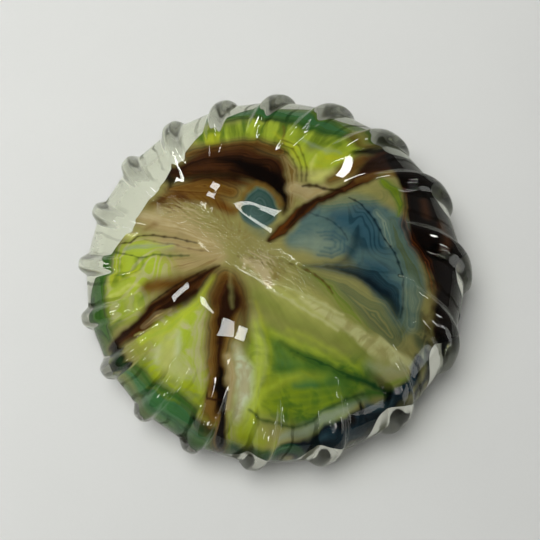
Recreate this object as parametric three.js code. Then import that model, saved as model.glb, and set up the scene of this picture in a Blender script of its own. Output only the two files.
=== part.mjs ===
// A solid glass paperweight in the form of a scallop shell: a core of cloudy glass, a skin of coloured
// chips and trails laid on it in a fan, and a clear outer casing with ribs that run to one off-centre pole.
// Millimetres and degrees. +Z is up, +Y points to the shell's hinge and -Y to its lip. The origin is the
// middle of the overall box, on the ground face that the weight stands on.
import * as THREE from "three";

// Outside of the clear casing
const BODY_RADIUS = 44.6; // in the flutes, at the widest level
const CROWN_HEIGHT = 17.5; // widest level to crown
const BELLY_HEIGHT = 9; // ground face to widest level
const FOOT_RADIUS = 36;
const SECTION_POWER = 2.15; // 2 is an ellipse, more is squarer
const POLE_X = -3.7; // where the ribs and the colours all run to
const POLE_Y = 7.6;

// Ribs left by the optic mould
const RIB_COUNT = 18;
const RIB_HEIGHT = 2.4;
const RIB_START = -61; // turn of the first rib
const RIB_DRIFT = 2.9; // how far the ribs crowd to two sides
const RIB_DRIFT_TURN = -33; // turn where the ribs stand furthest on
const RIB_FADE_FROM = 30; // sweep at which a rib starts to stand up
const RIB_FADE_TO = 66; // sweep at which it has its full height
const RIB_AT_FOOT = 0.5; // share of its height left at the foot

// Soft crease from the hinge over the pole to the lip
const CREASE_HEIGHT = 1;
const CREASE_WIDTH = 3.5;
const CREASE_END = 62; // sweep at which the crease has died away

// Clear glass between the colours and the outside
const SIDE_COVER = 3.2;
const CROWN_COVER = 3.6;
const BELLY_COVER = 3.5;
const HINGE_COVER = 12; // at the flat side of the core, under the hinge
const CORE_SHIFT_X = -1.3; // the core lies a little off the casing's middle
const CORE_SHIFT_Y = -1.9;
const HINGE_TURN = 89; // direction that the core's flat side faces
const HINGE_SHARPNESS = 12; // how tightly the flat side turns into the round

// Coloured skin and core
const SKIN_THICKNESS = 1.4;
const SEAM = 0.3; // clearance left between neighbouring pieces of glass
const NECK_RADIUS = 15;
const CROWN_CAP_SWEEP = 14; // edge of the cap over the pole
const EYE_SWEEP = 27; // edge of the blue eye
const BELT_SWEEP = 66; // where the fan ends and the rim belt starts
const SKIN_END_SWEEP = 107; // just under the core's edge

// Mesh steps
const RIB_STEPS = [-0.27, -0.12, 0, 0.12, 0.27, 0.5]; // columns across one rib, as shares of its pitch
const OUTER_SWEEPS = [14, 26, 37, 46, 54, 61, 67, 73, 79, 84.5, 90, 97, 106, 118, 132, 150, 180];
const INNER_SWEEPS = [14, 27, 39, 49, 58, 66, 74, 82, 90, 98, 107, 120, 140, 180];
const PATCH_STEP = 7; // widest turn between two columns of a patch

const radians = THREE.MathUtils.degToRad;
const smoothstep = THREE.MathUtils.smoothstep;
const lerp = THREE.MathUtils.lerp;
const RIB_PITCH = 360 / RIB_COUNT;

// Distance from the pole, along a turn, to a circle round the given middle
function reachToCircle(turn, middleX, middleY, radius) {
  const along = { x: Math.cos(radians(turn)), y: Math.sin(radians(turn)) };
  const away = { x: POLE_X - middleX, y: POLE_Y - middleY };
  const forward = away.x * along.x + away.y * along.y;
  return Math.sqrt(forward ** 2 - away.x ** 2 - away.y ** 2 + radius ** 2) - forward;
}

// Distance from the pole to the core's outline: a circle with one side flattened under the hinge
function reachToFlattenedCircle(turn, radius, flatDistance) {
  const round = reachToCircle(turn, CORE_SHIFT_X, CORE_SHIFT_Y, radius);
  const facing = Math.cos(radians(turn - HINGE_TURN));
  if (facing <= 0) return round;
  const hinge = radians(HINGE_TURN);
  const poleToFlat = flatDistance - POLE_X * Math.cos(hinge) - POLE_Y * Math.sin(hinge);
  const flat = poleToFlat / facing;
  return (round ** -HINGE_SHARPNESS + flat ** -HINGE_SHARPNESS) ** (-1 / HINGE_SHARPNESS);
}

// The forms that lie inside each other: each is named by its reach, its rise over the widest level,
// its drop below it and the radius where its underside ends
const casingForm = {
  reach: (turn) => reachToCircle(turn, 0, 0, BODY_RADIUS),
  crown: CROWN_HEIGHT,
  belly: BELLY_HEIGHT,
  foot: FOOT_RADIUS,
};

// A form inside the casing, at a depth under the casing's cavity
function formUnderCavity(depth) {
  return {
    reach: (turn) =>
      reachToFlattenedCircle(
        turn,
        BODY_RADIUS - SIDE_COVER - depth,
        BODY_RADIUS - HINGE_COVER - depth,
      ),
    crown: CROWN_HEIGHT - CROWN_COVER - depth,
    belly: BELLY_HEIGHT - BELLY_COVER - depth,
    foot: NECK_RADIUS + SEAM,
  };
}

const cavityForm = formUnderCavity(0);
const skinTopForm = formUnderCavity(SEAM);
const skinUnderForm = formUnderCavity(SEAM + SKIN_THICKNESS);
const coreForm = { ...formUnderCavity(SEAM + SKIN_THICKNESS + SEAM), foot: NECK_RADIUS };

// A point of a form. Turn is the angle about the pole. Sweep is 0 at the pole, 90 at the widest level
// and 180 where the underside meets the foot.
function formPoint(form, turn, sweep) {
  const across = Math.abs(Math.sin(radians(sweep))) ** (2 / SECTION_POWER);
  const upward = Math.abs(Math.cos(radians(sweep))) ** (2 / SECTION_POWER);
  const reach = form.reach(turn);
  const wideX = POLE_X + reach * Math.cos(radians(turn));
  const wideY = POLE_Y + reach * Math.sin(radians(turn));
  if (sweep <= 90)
    return new THREE.Vector3(
      lerp(POLE_X, wideX, across),
      lerp(POLE_Y, wideY, across),
      BELLY_HEIGHT + form.crown * upward,
    );
  const bearing = Math.atan2(wideY, wideX);
  return new THREE.Vector3(
    lerp(form.foot * Math.cos(bearing), wideX, across),
    lerp(form.foot * Math.sin(bearing), wideY, across),
    BELLY_HEIGHT - form.belly * upward,
  );
}

// The ribs do not stand quite evenly: the turn at which an even step round the casing lies
function turnOfStep(step) {
  return step + RIB_DRIFT * Math.cos(radians(2 * (step - RIB_DRIFT_TURN)));
}

// Height of a rib's section at a step, from 0 in the flute to 1 on the crest
function ribSection(step) {
  const wave = 0.5 + 0.5 * Math.cos(radians((step - RIB_START) * RIB_COUNT));
  return 0.7 * wave ** 4 + 0.3 * wave;
}

// Share of the rib's height that it has at a sweep
function ribStrength(sweep) {
  if (sweep <= 90) return smoothstep(sweep, RIB_FADE_FROM, RIB_FADE_TO);
  return lerp(1, RIB_AT_FOOT, smoothstep(sweep, 90, 180));
}

// A point of the casing's outside, with its ribs and its crease
function casingPoint(step, sweep) {
  const turn = turnOfStep(step);
  const point = formPoint(casingForm, turn, sweep);
  const rib = RIB_HEIGHT * ribSection(step) * ribStrength(sweep);
  const outward = Math.sin(radians(Math.min(sweep, 90)));
  point.x += rib * outward * Math.cos(radians(turn));
  point.y += rib * outward * Math.sin(radians(turn));
  point.z += rib * Math.cos(radians(Math.min(sweep, 90)));
  const across = (point.x - POLE_X) / CREASE_WIDTH;
  point.z += CREASE_HEIGHT * Math.exp(-(across ** 2)) * (1 - smoothstep(sweep, 0, CREASE_END));
  return point;
}

// A closed body skinned over rings of points. A ring may have as many points as the next or twice as
// many. Each end closes on an apex, or, where the ring is a folded outline, by joining its two halves.
function skinnedBody(firstApex, rings, lastApex) {
  const points = rings.flat();
  const starts = rings.map((ring, i) => rings.slice(0, i).reduce((sum, r) => sum + r.length, 0));
  const faces = [];

  const closeOnApex = (start, count, apex, turned) => {
    points.push(apex);
    for (let i = 0; i < count; i++) {
      const here = start + i;
      const next = start + ((i + 1) % count);
      faces.push(turned ? [here, points.length - 1, next] : [points.length - 1, here, next]);
    }
  };
  const closeOnItself = (start, count, turned) => {
    for (let i = 0; i < count / 2 - 1; i++) {
      const [a, b, c, d] = [i, i + 1, count - 2 - i, count - 1 - i].map((n) => start + n);
      if (turned) faces.push([c, b, a], [d, c, a]);
      else faces.push([a, b, c], [a, c, d]);
    }
  };

  for (let r = 0; r + 1 < rings.length; r++) {
    const here = rings[r].length;
    const next = rings[r + 1].length;
    for (let i = 0; i < next; i++) {
      const b0 = starts[r + 1] + i;
      const b1 = starts[r + 1] + ((i + 1) % next);
      if (here === next) {
        const a0 = starts[r] + i;
        const a1 = starts[r] + ((i + 1) % here);
        faces.push([a0, b0, b1], [a0, b1, a1]);
      } else {
        const a0 = starts[r] + 2 * i;
        const a2 = starts[r] + ((2 * i + 2) % here);
        faces.push([a0, b0, a0 + 1], [a0 + 1, b0, b1], [a0 + 1, b1, a2]);
      }
    }
  }
  const last = rings.length - 1;
  if (firstApex) closeOnApex(starts[0], rings[0].length, firstApex, false);
  else closeOnItself(starts[0], rings[0].length, false);
  if (lastApex) closeOnApex(starts[last], rings[last].length, lastApex, true);
  else closeOnItself(starts[last], rings[last].length, true);

  const geometry = new THREE.BufferGeometry().setFromPoints(points);
  geometry.setIndex(faces.flat());
  geometry.computeVertexNormals();
  return geometry;
}

// Steps of the columns outside, close together on the ribs, and turns of the columns inside
const outerSteps = [];
for (let rib = 0; rib < RIB_COUNT; rib++)
  for (const share of RIB_STEPS) outerSteps.push(RIB_START + (rib + share) * RIB_PITCH);
const innerTurns = outerSteps
  .filter((step, i) => i % 2 === 0)
  .map((step, i, all) => outerSteps[0] + (i * 360) / all.length);

const innerRing = (form, sweep) => innerTurns.map((turn) => formPoint(form, turn, sweep));

// A round of the neck, in line with the core's columns
function neckRing(radius) {
  return innerRing(coreForm, 180).map((p) => {
    const bearing = Math.atan2(p.y, p.x);
    return new THREE.Vector3(radius * Math.cos(bearing), radius * Math.sin(bearing), 0);
  });
}

function makeCasing() {
  const outside = OUTER_SWEEPS.map((sweep) => outerSteps.map((step) => casingPoint(step, sweep)));
  const cavity = INNER_SWEEPS.map((sweep) => innerRing(cavityForm, sweep)).reverse();
  return skinnedBody(
    casingPoint(0, 0),
    [...outside, neckRing(NECK_RADIUS + SEAM), ...cavity],
    formPoint(cavityForm, 0, 0),
  );
}

function makeCore() {
  const outside = INNER_SWEEPS.map((sweep) => innerRing(coreForm, sweep));
  return skinnedBody(
    formPoint(coreForm, 0, 0),
    [...outside, neckRing(NECK_RADIUS)],
    new THREE.Vector3(0, 0, 0),
  );
}

function makeCrownCap() {
  const edge = CROWN_CAP_SWEEP - sweepOf(SEAM / 2, CROWN_CAP_SWEEP);
  const top = [edge / 2, edge].map((sweep) => innerRing(skinTopForm, sweep));
  const under = [edge, edge / 2].map((sweep) => innerRing(skinUnderForm, sweep));
  return skinnedBody(formPoint(skinTopForm, 0, 0), [...top, ...under], formPoint(skinUnderForm, 0, 0));
}

// The sweep, in degrees, that covers a length along the skin at a place
function sweepOf(length, sweep) {
  const step = formPoint(skinUnderForm, 0, sweep + 0.5).distanceTo(formPoint(skinUnderForm, 0, sweep - 0.5));
  return length / step;
}

// The turn, in degrees, that covers a length across the skin at a place
function turnOf(length, turn, sweep) {
  const step = formPoint(skinUnderForm, turn + 0.5, sweep).distanceTo(
    formPoint(skinUnderForm, turn - 0.5, sweep),
  );
  return length / step;
}

// A seam between two colours: a smooth curve by its turn at the crown cap, half way out and at the belt
function seamThrough(atCap, halfWay, atBelt) {
  const bow = 2 * halfWay - (atCap + atBelt) / 2;
  return (sweep) => {
    const t = THREE.MathUtils.clamp((sweep - CROWN_CAP_SWEEP) / (BELT_SWEEP - CROWN_CAP_SWEEP), 0, 1);
    return lerp(lerp(atCap, bow, t), lerp(bow, atBelt, t), t);
  };
}

// A slab of the coloured skin between two seams and two sweeps
function makePatch(fromSeam, toSeam, fromSweep, toSweep) {
  const first = fromSweep + sweepOf(SEAM / 2, fromSweep);
  const last = toSweep - sweepOf(SEAM / 2, toSweep);
  const between = INNER_SWEEPS.filter((sweep) => sweep > first + 2 && sweep < last - 2);
  const sweeps = [first, ...between, last];
  const widest = Math.max(...sweeps.map((sweep) => toSeam(sweep) - fromSeam(sweep)));
  const columns = Math.max(2, Math.ceil(widest / PATCH_STEP));
  const pointsAt = (form, share) =>
    sweeps.map((sweep) => {
      const from = fromSeam(sweep) + turnOf(SEAM / 2, fromSeam(sweep), sweep);
      const to = toSeam(sweep) - turnOf(SEAM / 2, toSeam(sweep), sweep);
      return formPoint(form, lerp(from, to, share), sweep);
    });
  const rings = [];
  for (let column = columns; column >= 0; column--) {
    const share = column / columns;
    rings.push([...pointsAt(skinTopForm, share), ...pointsAt(skinUnderForm, share).reverse()]);
  }
  return skinnedBody(null, rings, null);
}

// Seams of the fan, in the order of their turns
const seams = {
  lip: seamThrough(-95, -87, -80),
  blueToArm: seamThrough(-58, -42, -30),
  armToYellow: seamThrough(-38, -30, -17),
  yellowToArch: seamThrough(0, 4, 8),
  archToHinge: seamThrough(52, 84, 76),
  hingeToSwirl: seamThrough(122, 122, 119),
  swirlToStreak: seamThrough(148, 153, 157),
  streakToLime: seamThrough(168, 167, 163),
  limeToFront: seamThrough(184, 191, 201),
  frontToGreen: seamThrough(218, 213, 209),
  greenToCream: seamThrough(256, 261, 265),
};
const lipAgain = (sweep) => seams.lip(sweep) + 360;

function glass(colour, roughness) {
  return new THREE.MeshStandardMaterial({ color: colour, roughness, metalness: 0 });
}

const weight = new THREE.Group();

function addPiece(name, geometry, colour, roughness = 0.1) {
  const piece = new THREE.Mesh(geometry, glass(colour, roughness));
  piece.name = name;
  weight.add(piece);
}

addPiece("ribbed_casing", makeCasing(), 0xdfe4df, 0.03);
addPiece("opal_core", makeCore(), 0xa8a888, 0.15);
addPiece("amber_crown", makeCrownCap(), 0x857a48);

// The fan of colours from the crown cap to the rim belt
const fan = (name, from, to, colour, fromSweep = CROWN_CAP_SWEEP, toSweep = BELT_SWEEP) =>
  addPiece(name, makePatch(from, to, fromSweep, toSweep), colour);
fan("blue_pool", seams.lip, seams.blueToArm, 0x4b7288);
fan("brown_arm", seams.blueToArm, seams.armToYellow, 0x5f3c1c);
fan("yellow_patch", seams.armToYellow, seams.yellowToArch, 0xb7b43a);
fan("blue_eye", seams.yellowToArch, seams.archToHinge, 0x47707a, CROWN_CAP_SWEEP, EYE_SWEEP);
fan("brown_arch", seams.yellowToArch, seams.archToHinge, 0x2e170c, EYE_SWEEP, BELT_SWEEP);
fan("amber_hinge", seams.archToHinge, seams.hingeToSwirl, 0x7d6338, CROWN_CAP_SWEEP, SKIN_END_SWEEP);
fan("green_swirl", seams.hingeToSwirl, seams.swirlToStreak, 0x9db32a);
fan("brown_streak_left", seams.swirlToStreak, seams.streakToLime, 0x4a2a14);
fan("lime_patch", seams.streakToLime, seams.limeToFront, 0x9fb238);
fan("brown_streak_front", seams.limeToFront, seams.frontToGreen, 0x52321a);
fan("green_field", seams.frontToGreen, seams.greenToCream, 0x7f9c2c);
fan("cream_ridge", seams.greenToCream, lipAgain, 0xb4b384);

// The belt of darker colours that turns down over the core's edge
const belt = (name, from, to, colour) =>
  addPiece(name, makePatch(from, to, BELT_SWEEP, SKIN_END_SWEEP), colour);
belt("brown_rim", seams.lip, seams.armToYellow, 0x1c0f0a);
belt("green_rim_back", seams.armToYellow, seams.archToHinge, 0x2f6b34);
belt("green_rim_left", seams.hingeToSwirl, seams.streakToLime, 0x27602f);
belt("teal_rim_front", seams.streakToLime, seams.frontToGreen, 0x3a7a62);
belt("blue_lip", seams.frontToGreen, lipAgain, 0x1d3f55);

// The origin is set in the middle of the overall box, on the ground face
const box = new THREE.Box3().setFromObject(weight);
const middle = box.getCenter(new THREE.Vector3());
weight.position.set(-middle.x, -middle.y, -box.min.z);

export default weight;
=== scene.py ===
"""Gives the glass shell weight its looks: a clear ribbed casing over a fan of colours on a cloudy core."""

import math

import bpy
from bpy.props import FloatProperty, FloatVectorProperty, IntProperty, PointerProperty
from mathutils import Color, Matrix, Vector


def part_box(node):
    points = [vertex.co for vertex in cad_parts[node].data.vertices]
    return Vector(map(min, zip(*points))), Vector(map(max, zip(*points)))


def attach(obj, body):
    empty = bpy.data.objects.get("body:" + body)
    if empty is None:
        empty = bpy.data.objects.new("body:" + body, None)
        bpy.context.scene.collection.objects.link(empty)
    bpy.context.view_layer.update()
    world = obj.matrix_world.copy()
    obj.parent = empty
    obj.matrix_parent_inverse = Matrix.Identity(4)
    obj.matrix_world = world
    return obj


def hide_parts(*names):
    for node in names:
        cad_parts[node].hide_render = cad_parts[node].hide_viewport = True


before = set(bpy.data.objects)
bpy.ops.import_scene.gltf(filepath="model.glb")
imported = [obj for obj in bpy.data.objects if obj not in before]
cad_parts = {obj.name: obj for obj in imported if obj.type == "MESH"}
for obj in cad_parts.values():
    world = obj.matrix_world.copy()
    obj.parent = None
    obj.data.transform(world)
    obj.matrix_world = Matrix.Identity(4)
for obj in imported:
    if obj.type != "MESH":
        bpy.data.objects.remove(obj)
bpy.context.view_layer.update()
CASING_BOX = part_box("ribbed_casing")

bl_info = {
    "name": "Glass shell weight",
    "version": (1, 0, 0),
    "blender": (4, 5, 0),
    "location": "3D View > Sidebar > Shell weight",
    "description": "Builds a ribbed glass shell weight and the table it lies on",
    "category": "Object",
}

MM = 0.001
SHARP_CORNER = math.radians(50)

# How fine the meshes are
CASING_COLUMNS = 720
CORE_COLUMNS = 360
FORM_ROWS = 121
CAP_COLUMNS = 181
CAP_ROWS = 33
SKIN_STEP = math.radians(0.9)
WELD_DISTANCE = 1e-6


# Sizes and colours that a user would change


def length(name, description, millimetres):
    return FloatProperty(
        name=name, description=description, default=millimetres * MM, subtype="DISTANCE", unit="LENGTH"
    )


def angle(name, description, degrees):
    return FloatProperty(name=name, description=description, default=math.radians(degrees), subtype="ANGLE")


def share(name, description, default):
    return FloatProperty(name=name, description=description, default=default)


def colour(name, description, red, green, blue):
    """A colour given as it looks on a screen, from 0 to 255, and kept as Blender's linear light."""
    seen = Color((red / 255, green / 255, blue / 255))
    default = tuple(seen.from_srgb_to_scene_linear())
    return FloatVectorProperty(
        name=name, description=description, default=default, subtype="COLOR", min=0, max=1
    )


class ShellSizes(bpy.types.PropertyGroup):
    """Sizes of the glass, the same as the frame's."""

    body_radius: length("Body radius", "In the flutes, at the widest level", 44.6)
    crown_height: length("Crown height", "Widest level to crown", 17.5)
    belly_height: length("Belly height", "Ground face to widest level", 9)
    foot_radius: length("Foot radius", "Radius of the ground face", 36)
    section_power: share("Section power", "2 is an ellipse, more is squarer", 2.15)
    pole_x: length("Pole X", "Where the ribs and the colours all run to", -3.7)
    pole_y: length("Pole Y", "Where the ribs and the colours all run to", 7.6)
    rib_count: IntProperty(name="Rib count", description="Ribs left by the optic mould", default=18)
    rib_height: length("Rib height", "Crest over flute", 2.4)
    rib_start: angle("Rib start", "Turn of the first rib", -61)
    rib_drift: angle("Rib drift", "How far the ribs crowd to two sides", 2.9)
    rib_drift_turn: angle("Rib drift turn", "Turn where the ribs stand furthest on", -33)
    rib_fade_from: angle("Rib fade from", "Sweep at which a rib starts to stand up", 30)
    rib_fade_to: angle("Rib fade to", "Sweep at which it has its full height", 66)
    rib_at_foot: share("Rib at foot", "Share of the rib's height left at the foot", 0.5)
    rib_lean: angle("Rib lean", "How far the ribs turn from the widest level to the pole", 18)
    crease_height: length("Crease height", "Soft crease from the hinge over the pole to the lip", 1)
    crease_width: length("Crease width", "Half width of the crease", 3.5)
    crease_end: angle("Crease end", "Sweep at which the crease has died away", 62)
    side_cover: length("Side cover", "Clear glass round the colours", 3.2)
    crown_cover: length("Crown cover", "Clear glass over the colours", 3.6)
    belly_cover: length("Belly cover", "Clear glass under the core", 3.5)
    hinge_cover: length("Hinge cover", "Clear glass at the core's flat side", 12)
    core_shift_x: length("Core shift X", "The core lies a little off the middle", -1.3)
    core_shift_y: length("Core shift Y", "The core lies a little off the middle", -1.9)
    hinge_turn: angle("Hinge turn", "Direction that the core's flat side faces", 89)
    hinge_sharpness: share("Hinge sharpness", "How tightly the flat side turns into the round", 12)
    skin_thickness: length("Skin thickness", "Thickness of the coloured skin", 1.4)
    seam: length("Seam", "Half of the gap that the fused colours close", 0.3)
    neck_radius: length("Neck radius", "Radius of the core's neck", 15)
    crown_cap_sweep: angle("Crown cap sweep", "Edge of the cap over the pole", 14)
    eye_sweep: angle("Eye sweep", "Edge of the blue eye", 27)
    belt_sweep: angle("Belt sweep", "Where the fan ends and the rim belt starts", 66)
    skin_end_sweep: angle("Skin end sweep", "Just under the core's edge", 107)
    dent_depth: length("Dent depth", "How far each rib pressed the core's outline in", 4.1)
    dent_turn: angle("Dent turn", "Turn where the dents are deepest", -85)
    dent_least: share("Dent least", "Share of their depth on the far side", 0.0)
    fan_turn: angle("Fan turn", "Turn that the drawing of the colours takes as its right", -57)


class GlassColours(bpy.types.PropertyGroup):
    """Colours of the glass, written as they look, from 0 to 255."""

    clear: colour("Clear", "Clear casing", 248, 249, 243)
    # Frost is painted light: a pale dull skin round the foot that brightens the clear rim where the glass
    # would gather light
    painted_light_frost: colour("Frost", "Chilled skin round the foot", 220, 223, 215)
    # Fold is painted shade: darker glass along the ribs' flanks, where they would bend the light away
    fold_shade: colour("Fold", "Clear glass where a rib folds it", 128, 130, 116)
    opal: colour("Opal", "Cloudy core", 150, 145, 105)
    khaki: colour("Khaki", "Thin glass over the core", 146, 140, 84)
    tan: colour("Tan", "Milky brown", 170, 150, 106)
    pale_tan: colour("Pale tan", "Milky patches by the pole", 184, 168, 130)
    amber: colour("Amber", "Thin brown glass", 112, 80, 32)
    brown: colour("Brown", "Trails", 74, 42, 16)
    dark_brown: colour("Dark brown", "Middle of the trails", 38, 19, 8)
    # Black brown is partly painted shade: the brown rim is painted near black where it curves down away from
    # the light
    black_brown: colour("Black brown", "Rim on the right", 10, 4, 2)
    orange: colour("Orange", "Thin edge of the dark rim", 110, 54, 12)
    yellow: colour("Yellow", "Bright patches", 184, 190, 46)
    pale_yellow: colour("Pale yellow", "Milky yellow", 202, 202, 116)
    lime: colour("Lime", "Yellow green", 166, 184, 56)
    leaf: colour("Leaf", "Green of the field", 112, 134, 34)
    bright_lime: colour("Bright lime", "Acid bands", 158, 172, 14)
    green: colour("Green", "Full green", 58, 98, 34)
    teal: colour("Teal", "Blue green of the rim", 58, 106, 62)
    dark_green: colour("Dark green", "Lines in the green", 26, 60, 28)
    blue: colour("Blue", "The pool", 52, 86, 102)
    deep_blue: colour("Deep blue", "Bands in the pool and the lip", 14, 38, 50)
    grey_blue: colour("Grey blue", "Milky blue", 88, 112, 110)
    # Blue black along the lip's edge is partly painted shade, where the edge curves down
    blue_black: colour("Blue black", "Deepest blue", 8, 22, 32)
    grey_green: colour("Grey green", "Milky green behind the lip", 84, 98, 70)
    sea: colour("Sea", "Dark eye under the arch", 54, 80, 76)
    mist: colour("Mist", "Milky grey", 146, 158, 136)
    # Cream along the crease to the lip is partly a painted reflection of the lamps that the crease mirrors
    cream: colour("Cream", "Ridge to the lip", 182, 180, 128)
    white: colour("White", "Milky white", 200, 208, 178)


class StageSettings(bpy.types.PropertyGroup):
    """The camera, the lamps and the table."""

    azimuth: angle("Azimuth", "Direction that the camera stands in", -57)
    elevation: angle("Elevation", "How high the camera looks down from", 70.5)
    distance: length("Distance", "Camera to the weight", 240)
    lens: FloatProperty(name="Lens", description="Focal length", default=67, unit="CAMERA")
    aim_right: length("Aim right", "How far the camera aims beside the middle", -1.2)
    aim_up: length("Aim up", "How far the camera aims above the middle", 1.0)
    table: colour("Table", "Table top", 222, 223, 219)
    key: FloatProperty(name="Key", description="Power of the soft lamp", default=17.8, unit="POWER")
    key_size: length("Key size", "Side of the soft lamp", 1200)
    key_distance: length("Key distance", "Soft lamp to the weight", 1200)
    key_elevation: angle("Key elevation", "How high the soft lamp stands", 68)
    ceiling: length("Ceiling", "Height of the lamps that the glass mirrors", 1500)
    ceiling_light: share("Ceiling light", "How bright those lamps look in the glass", 20)
    side_light: share("Side light", "How bright the card beside the weight looks", 2.0)
    # Strength of the painted pool of light that the table shows through the glass under the lip
    painted_light_pool: share("Gathered light", "Light that the clear glass gathers on the table under the lip", 0.62)


# Node trees written as Python expressions


def operation(name):
    """A method of Term that adds one of the maths nodes' operations."""

    def method(self, *others):
        return self.apply(name, *others)

    return method


class Term:
    """One output of a node. Python's operators work on it: an expression adds the nodes that it needs."""

    def __init__(self, tree, socket):
        self.tree = tree
        self.socket = socket

    def is_vector(self):
        return self.socket.type in ("VECTOR", "RGBA")

    def apply(self, name, *others):
        """Adds a maths node, or a vector maths node if any of the values is a vector."""
        values = [self, *others]
        if any(v.is_vector() if isinstance(v, Term) else isinstance(v, tuple) for v in values):
            values = [(v,) * 3 if isinstance(v, (int, float)) else v for v in values]
            return node(self.tree, "ShaderNodeVectorMath", {"operation": name}, dict(enumerate(values)))
        return node(self.tree, "ShaderNodeMath", {"operation": name}, dict(enumerate(values)))

    __add__ = __radd__ = operation("ADD")
    __sub__ = operation("SUBTRACT")
    __mul__ = __rmul__ = operation("MULTIPLY")
    __truediv__ = operation("DIVIDE")
    __pow__ = operation("POWER")
    __abs__ = operation("ABSOLUTE")
    __gt__ = operation("GREATER_THAN")
    __lt__ = operation("LESS_THAN")
    sin = operation("SINE")
    cos = operation("COSINE")
    atan2 = operation("ARCTAN2")
    sqrt = operation("SQRT")
    exp = operation("EXPONENT")
    least = operation("MINIMUM")
    most = operation("MAXIMUM")

    def __neg__(self):
        return self * -1.0

    def __rsub__(self, other):
        return node(self.tree, "ShaderNodeMath", {"operation": "SUBTRACT"}, {0: other, 1: self})

    def __rtruediv__(self, other):
        return node(self.tree, "ShaderNodeMath", {"operation": "DIVIDE"}, {0: other, 1: self})

    def scaled(self, factor):
        settings = {"operation": "SCALE"}
        return node(self.tree, "ShaderNodeVectorMath", settings, {0: self, "Scale": factor})

    def dot(self, other):
        settings = {"operation": "DOT_PRODUCT"}
        return node(self.tree, "ShaderNodeVectorMath", settings, {0: self, 1: other}, "Value")

    def length(self):
        return node(self.tree, "ShaderNodeVectorMath", {"operation": "LENGTH"}, {0: self}, "Value")

    def within(self, low, high):
        return node(self.tree, "ShaderNodeClamp", None, {"Value": self, "Min": low, "Max": high})


def node(tree, kind, settings=None, inputs=None, output=0):
    """Adds a node with its settings first, then its sockets' values or links, and returns one output."""
    made = tree.nodes.new(kind)
    for name, value in (settings or {}).items():
        setattr(made, name, value)
    for name, value in (inputs or {}).items():
        if isinstance(value, Term):
            tree.links.new(value.socket, made.inputs[name])
        else:
            made.inputs[name].default_value = value
    return Term(tree, made.outputs[output])


def blend(low, high, factor):
    """Goes from one number to another as factor goes from 0 to 1."""
    return low + (high - low) * factor


def rise(value, start, end):
    """Smooth step from 0 at start to 1 at end."""
    sockets = {"Value": value, "From Min": start, "From Max": end}
    return node(value.tree, "ShaderNodeMapRange", {"interpolation_type": "SMOOTHSTEP"}, sockets)


def mix_colours(low, high, factor):
    tree = factor.tree
    return node(tree, "ShaderNodeMix", {"data_type": "RGBA"}, {0: factor, 6: low, 7: high}, 2)


def split(tree, vector):
    """The three numbers of a vector."""
    cut = node(tree, "ShaderNodeSeparateXYZ", None, {0: vector}).socket.node
    return [Term(tree, cut.outputs[i]) for i in range(3)]


def join(tree, x, y, z):
    return node(tree, "ShaderNodeCombineXYZ", None, {0: x, 1: y, 2: z})


def noise(vector, scale, detail=2.0, distortion=0.0, output="Fac"):
    """Noise over a place, its scale in waves for each unit of the place."""
    inputs = {"Vector": vector, "Scale": scale, "Detail": detail, "Distortion": distortion}
    return node(vector.tree, "ShaderNodeTexNoise", None, inputs, output)


def place_in_millimetres(tree):
    """Where a point of the glass or the table is, from the frame's origin."""
    return node(tree, "ShaderNodeTexCoord", None, None, "Object").scaled(1 / MM)


# The glass forms


def form_reach(turn, pole, middle, radius, flat_distance, flat_turn, sharpness):
    """Distance from the pole to a form's outline: a circle with one side flattened."""
    away = (pole[0] - middle[0], pole[1] - middle[1])
    forward = turn.cos() * away[0] + turn.sin() * away[1]
    clear = radius * radius - away[0] * away[0] - away[1] * away[1]
    around = (forward * forward + clear).sqrt() - forward
    edge_on = 0.001
    facing = (turn - flat_turn).cos().most(edge_on)
    pole_to_flat = flat_distance - pole[0] * flat_turn.cos() - pole[1] * flat_turn.sin()
    flat = pole_to_flat / facing
    return (around ** -sharpness + flat ** -sharpness) ** (-1.0 / sharpness)


def numbers(*labels):
    """Inputs of a node group that take a number each."""
    return dict.fromkeys(labels, "NodeSocketFloat")


FORM_INPUTS = numbers(
    "Pole X", "Pole Y", "Middle X", "Middle Y", "Radius", "Flat distance", "Flat turn", "Flat sharpness",
    "Level", "Crown", "Belly", "Foot radius", "Section power", "Shift X", "Shift Y",
    "Rib count", "Rib start", "Rib drift", "Rib drift turn", "Dent depth", "Dent turn", "Dent least",
)
RIB_INPUTS = numbers(
    "Rib height", "Rib fade from", "Rib fade to", "Rib at foot", "Rib lean",
    "Crease height", "Crease width", "Crease end",
)
SKIN_INPUTS = {
    **dict.fromkeys(("Columns", "Rows"), "NodeSocketInt"),
    **dict.fromkeys(("From seam", "To seam"), "NodeSocketVector"),
    **numbers("From sweep", "To sweep", "Cap sweep", "Belt sweep", "Thickness", "Swell"),
}


def new_form_tree(name, inputs):
    """A geometry tree with the given named inputs, and those inputs as terms."""
    tree = bpy.data.node_groups.new(name, "GeometryNodeTree")
    for label, kind in inputs.items():
        tree.interface.new_socket(label, in_out="INPUT", socket_type=kind)
    tree.interface.new_socket("Geometry", in_out="OUTPUT", socket_type="NodeSocketGeometry")
    group = tree.nodes.new("NodeGroupInput")
    terms = {label: Term(tree, group.outputs[label]) for label in inputs}
    return tree, terms


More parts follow.
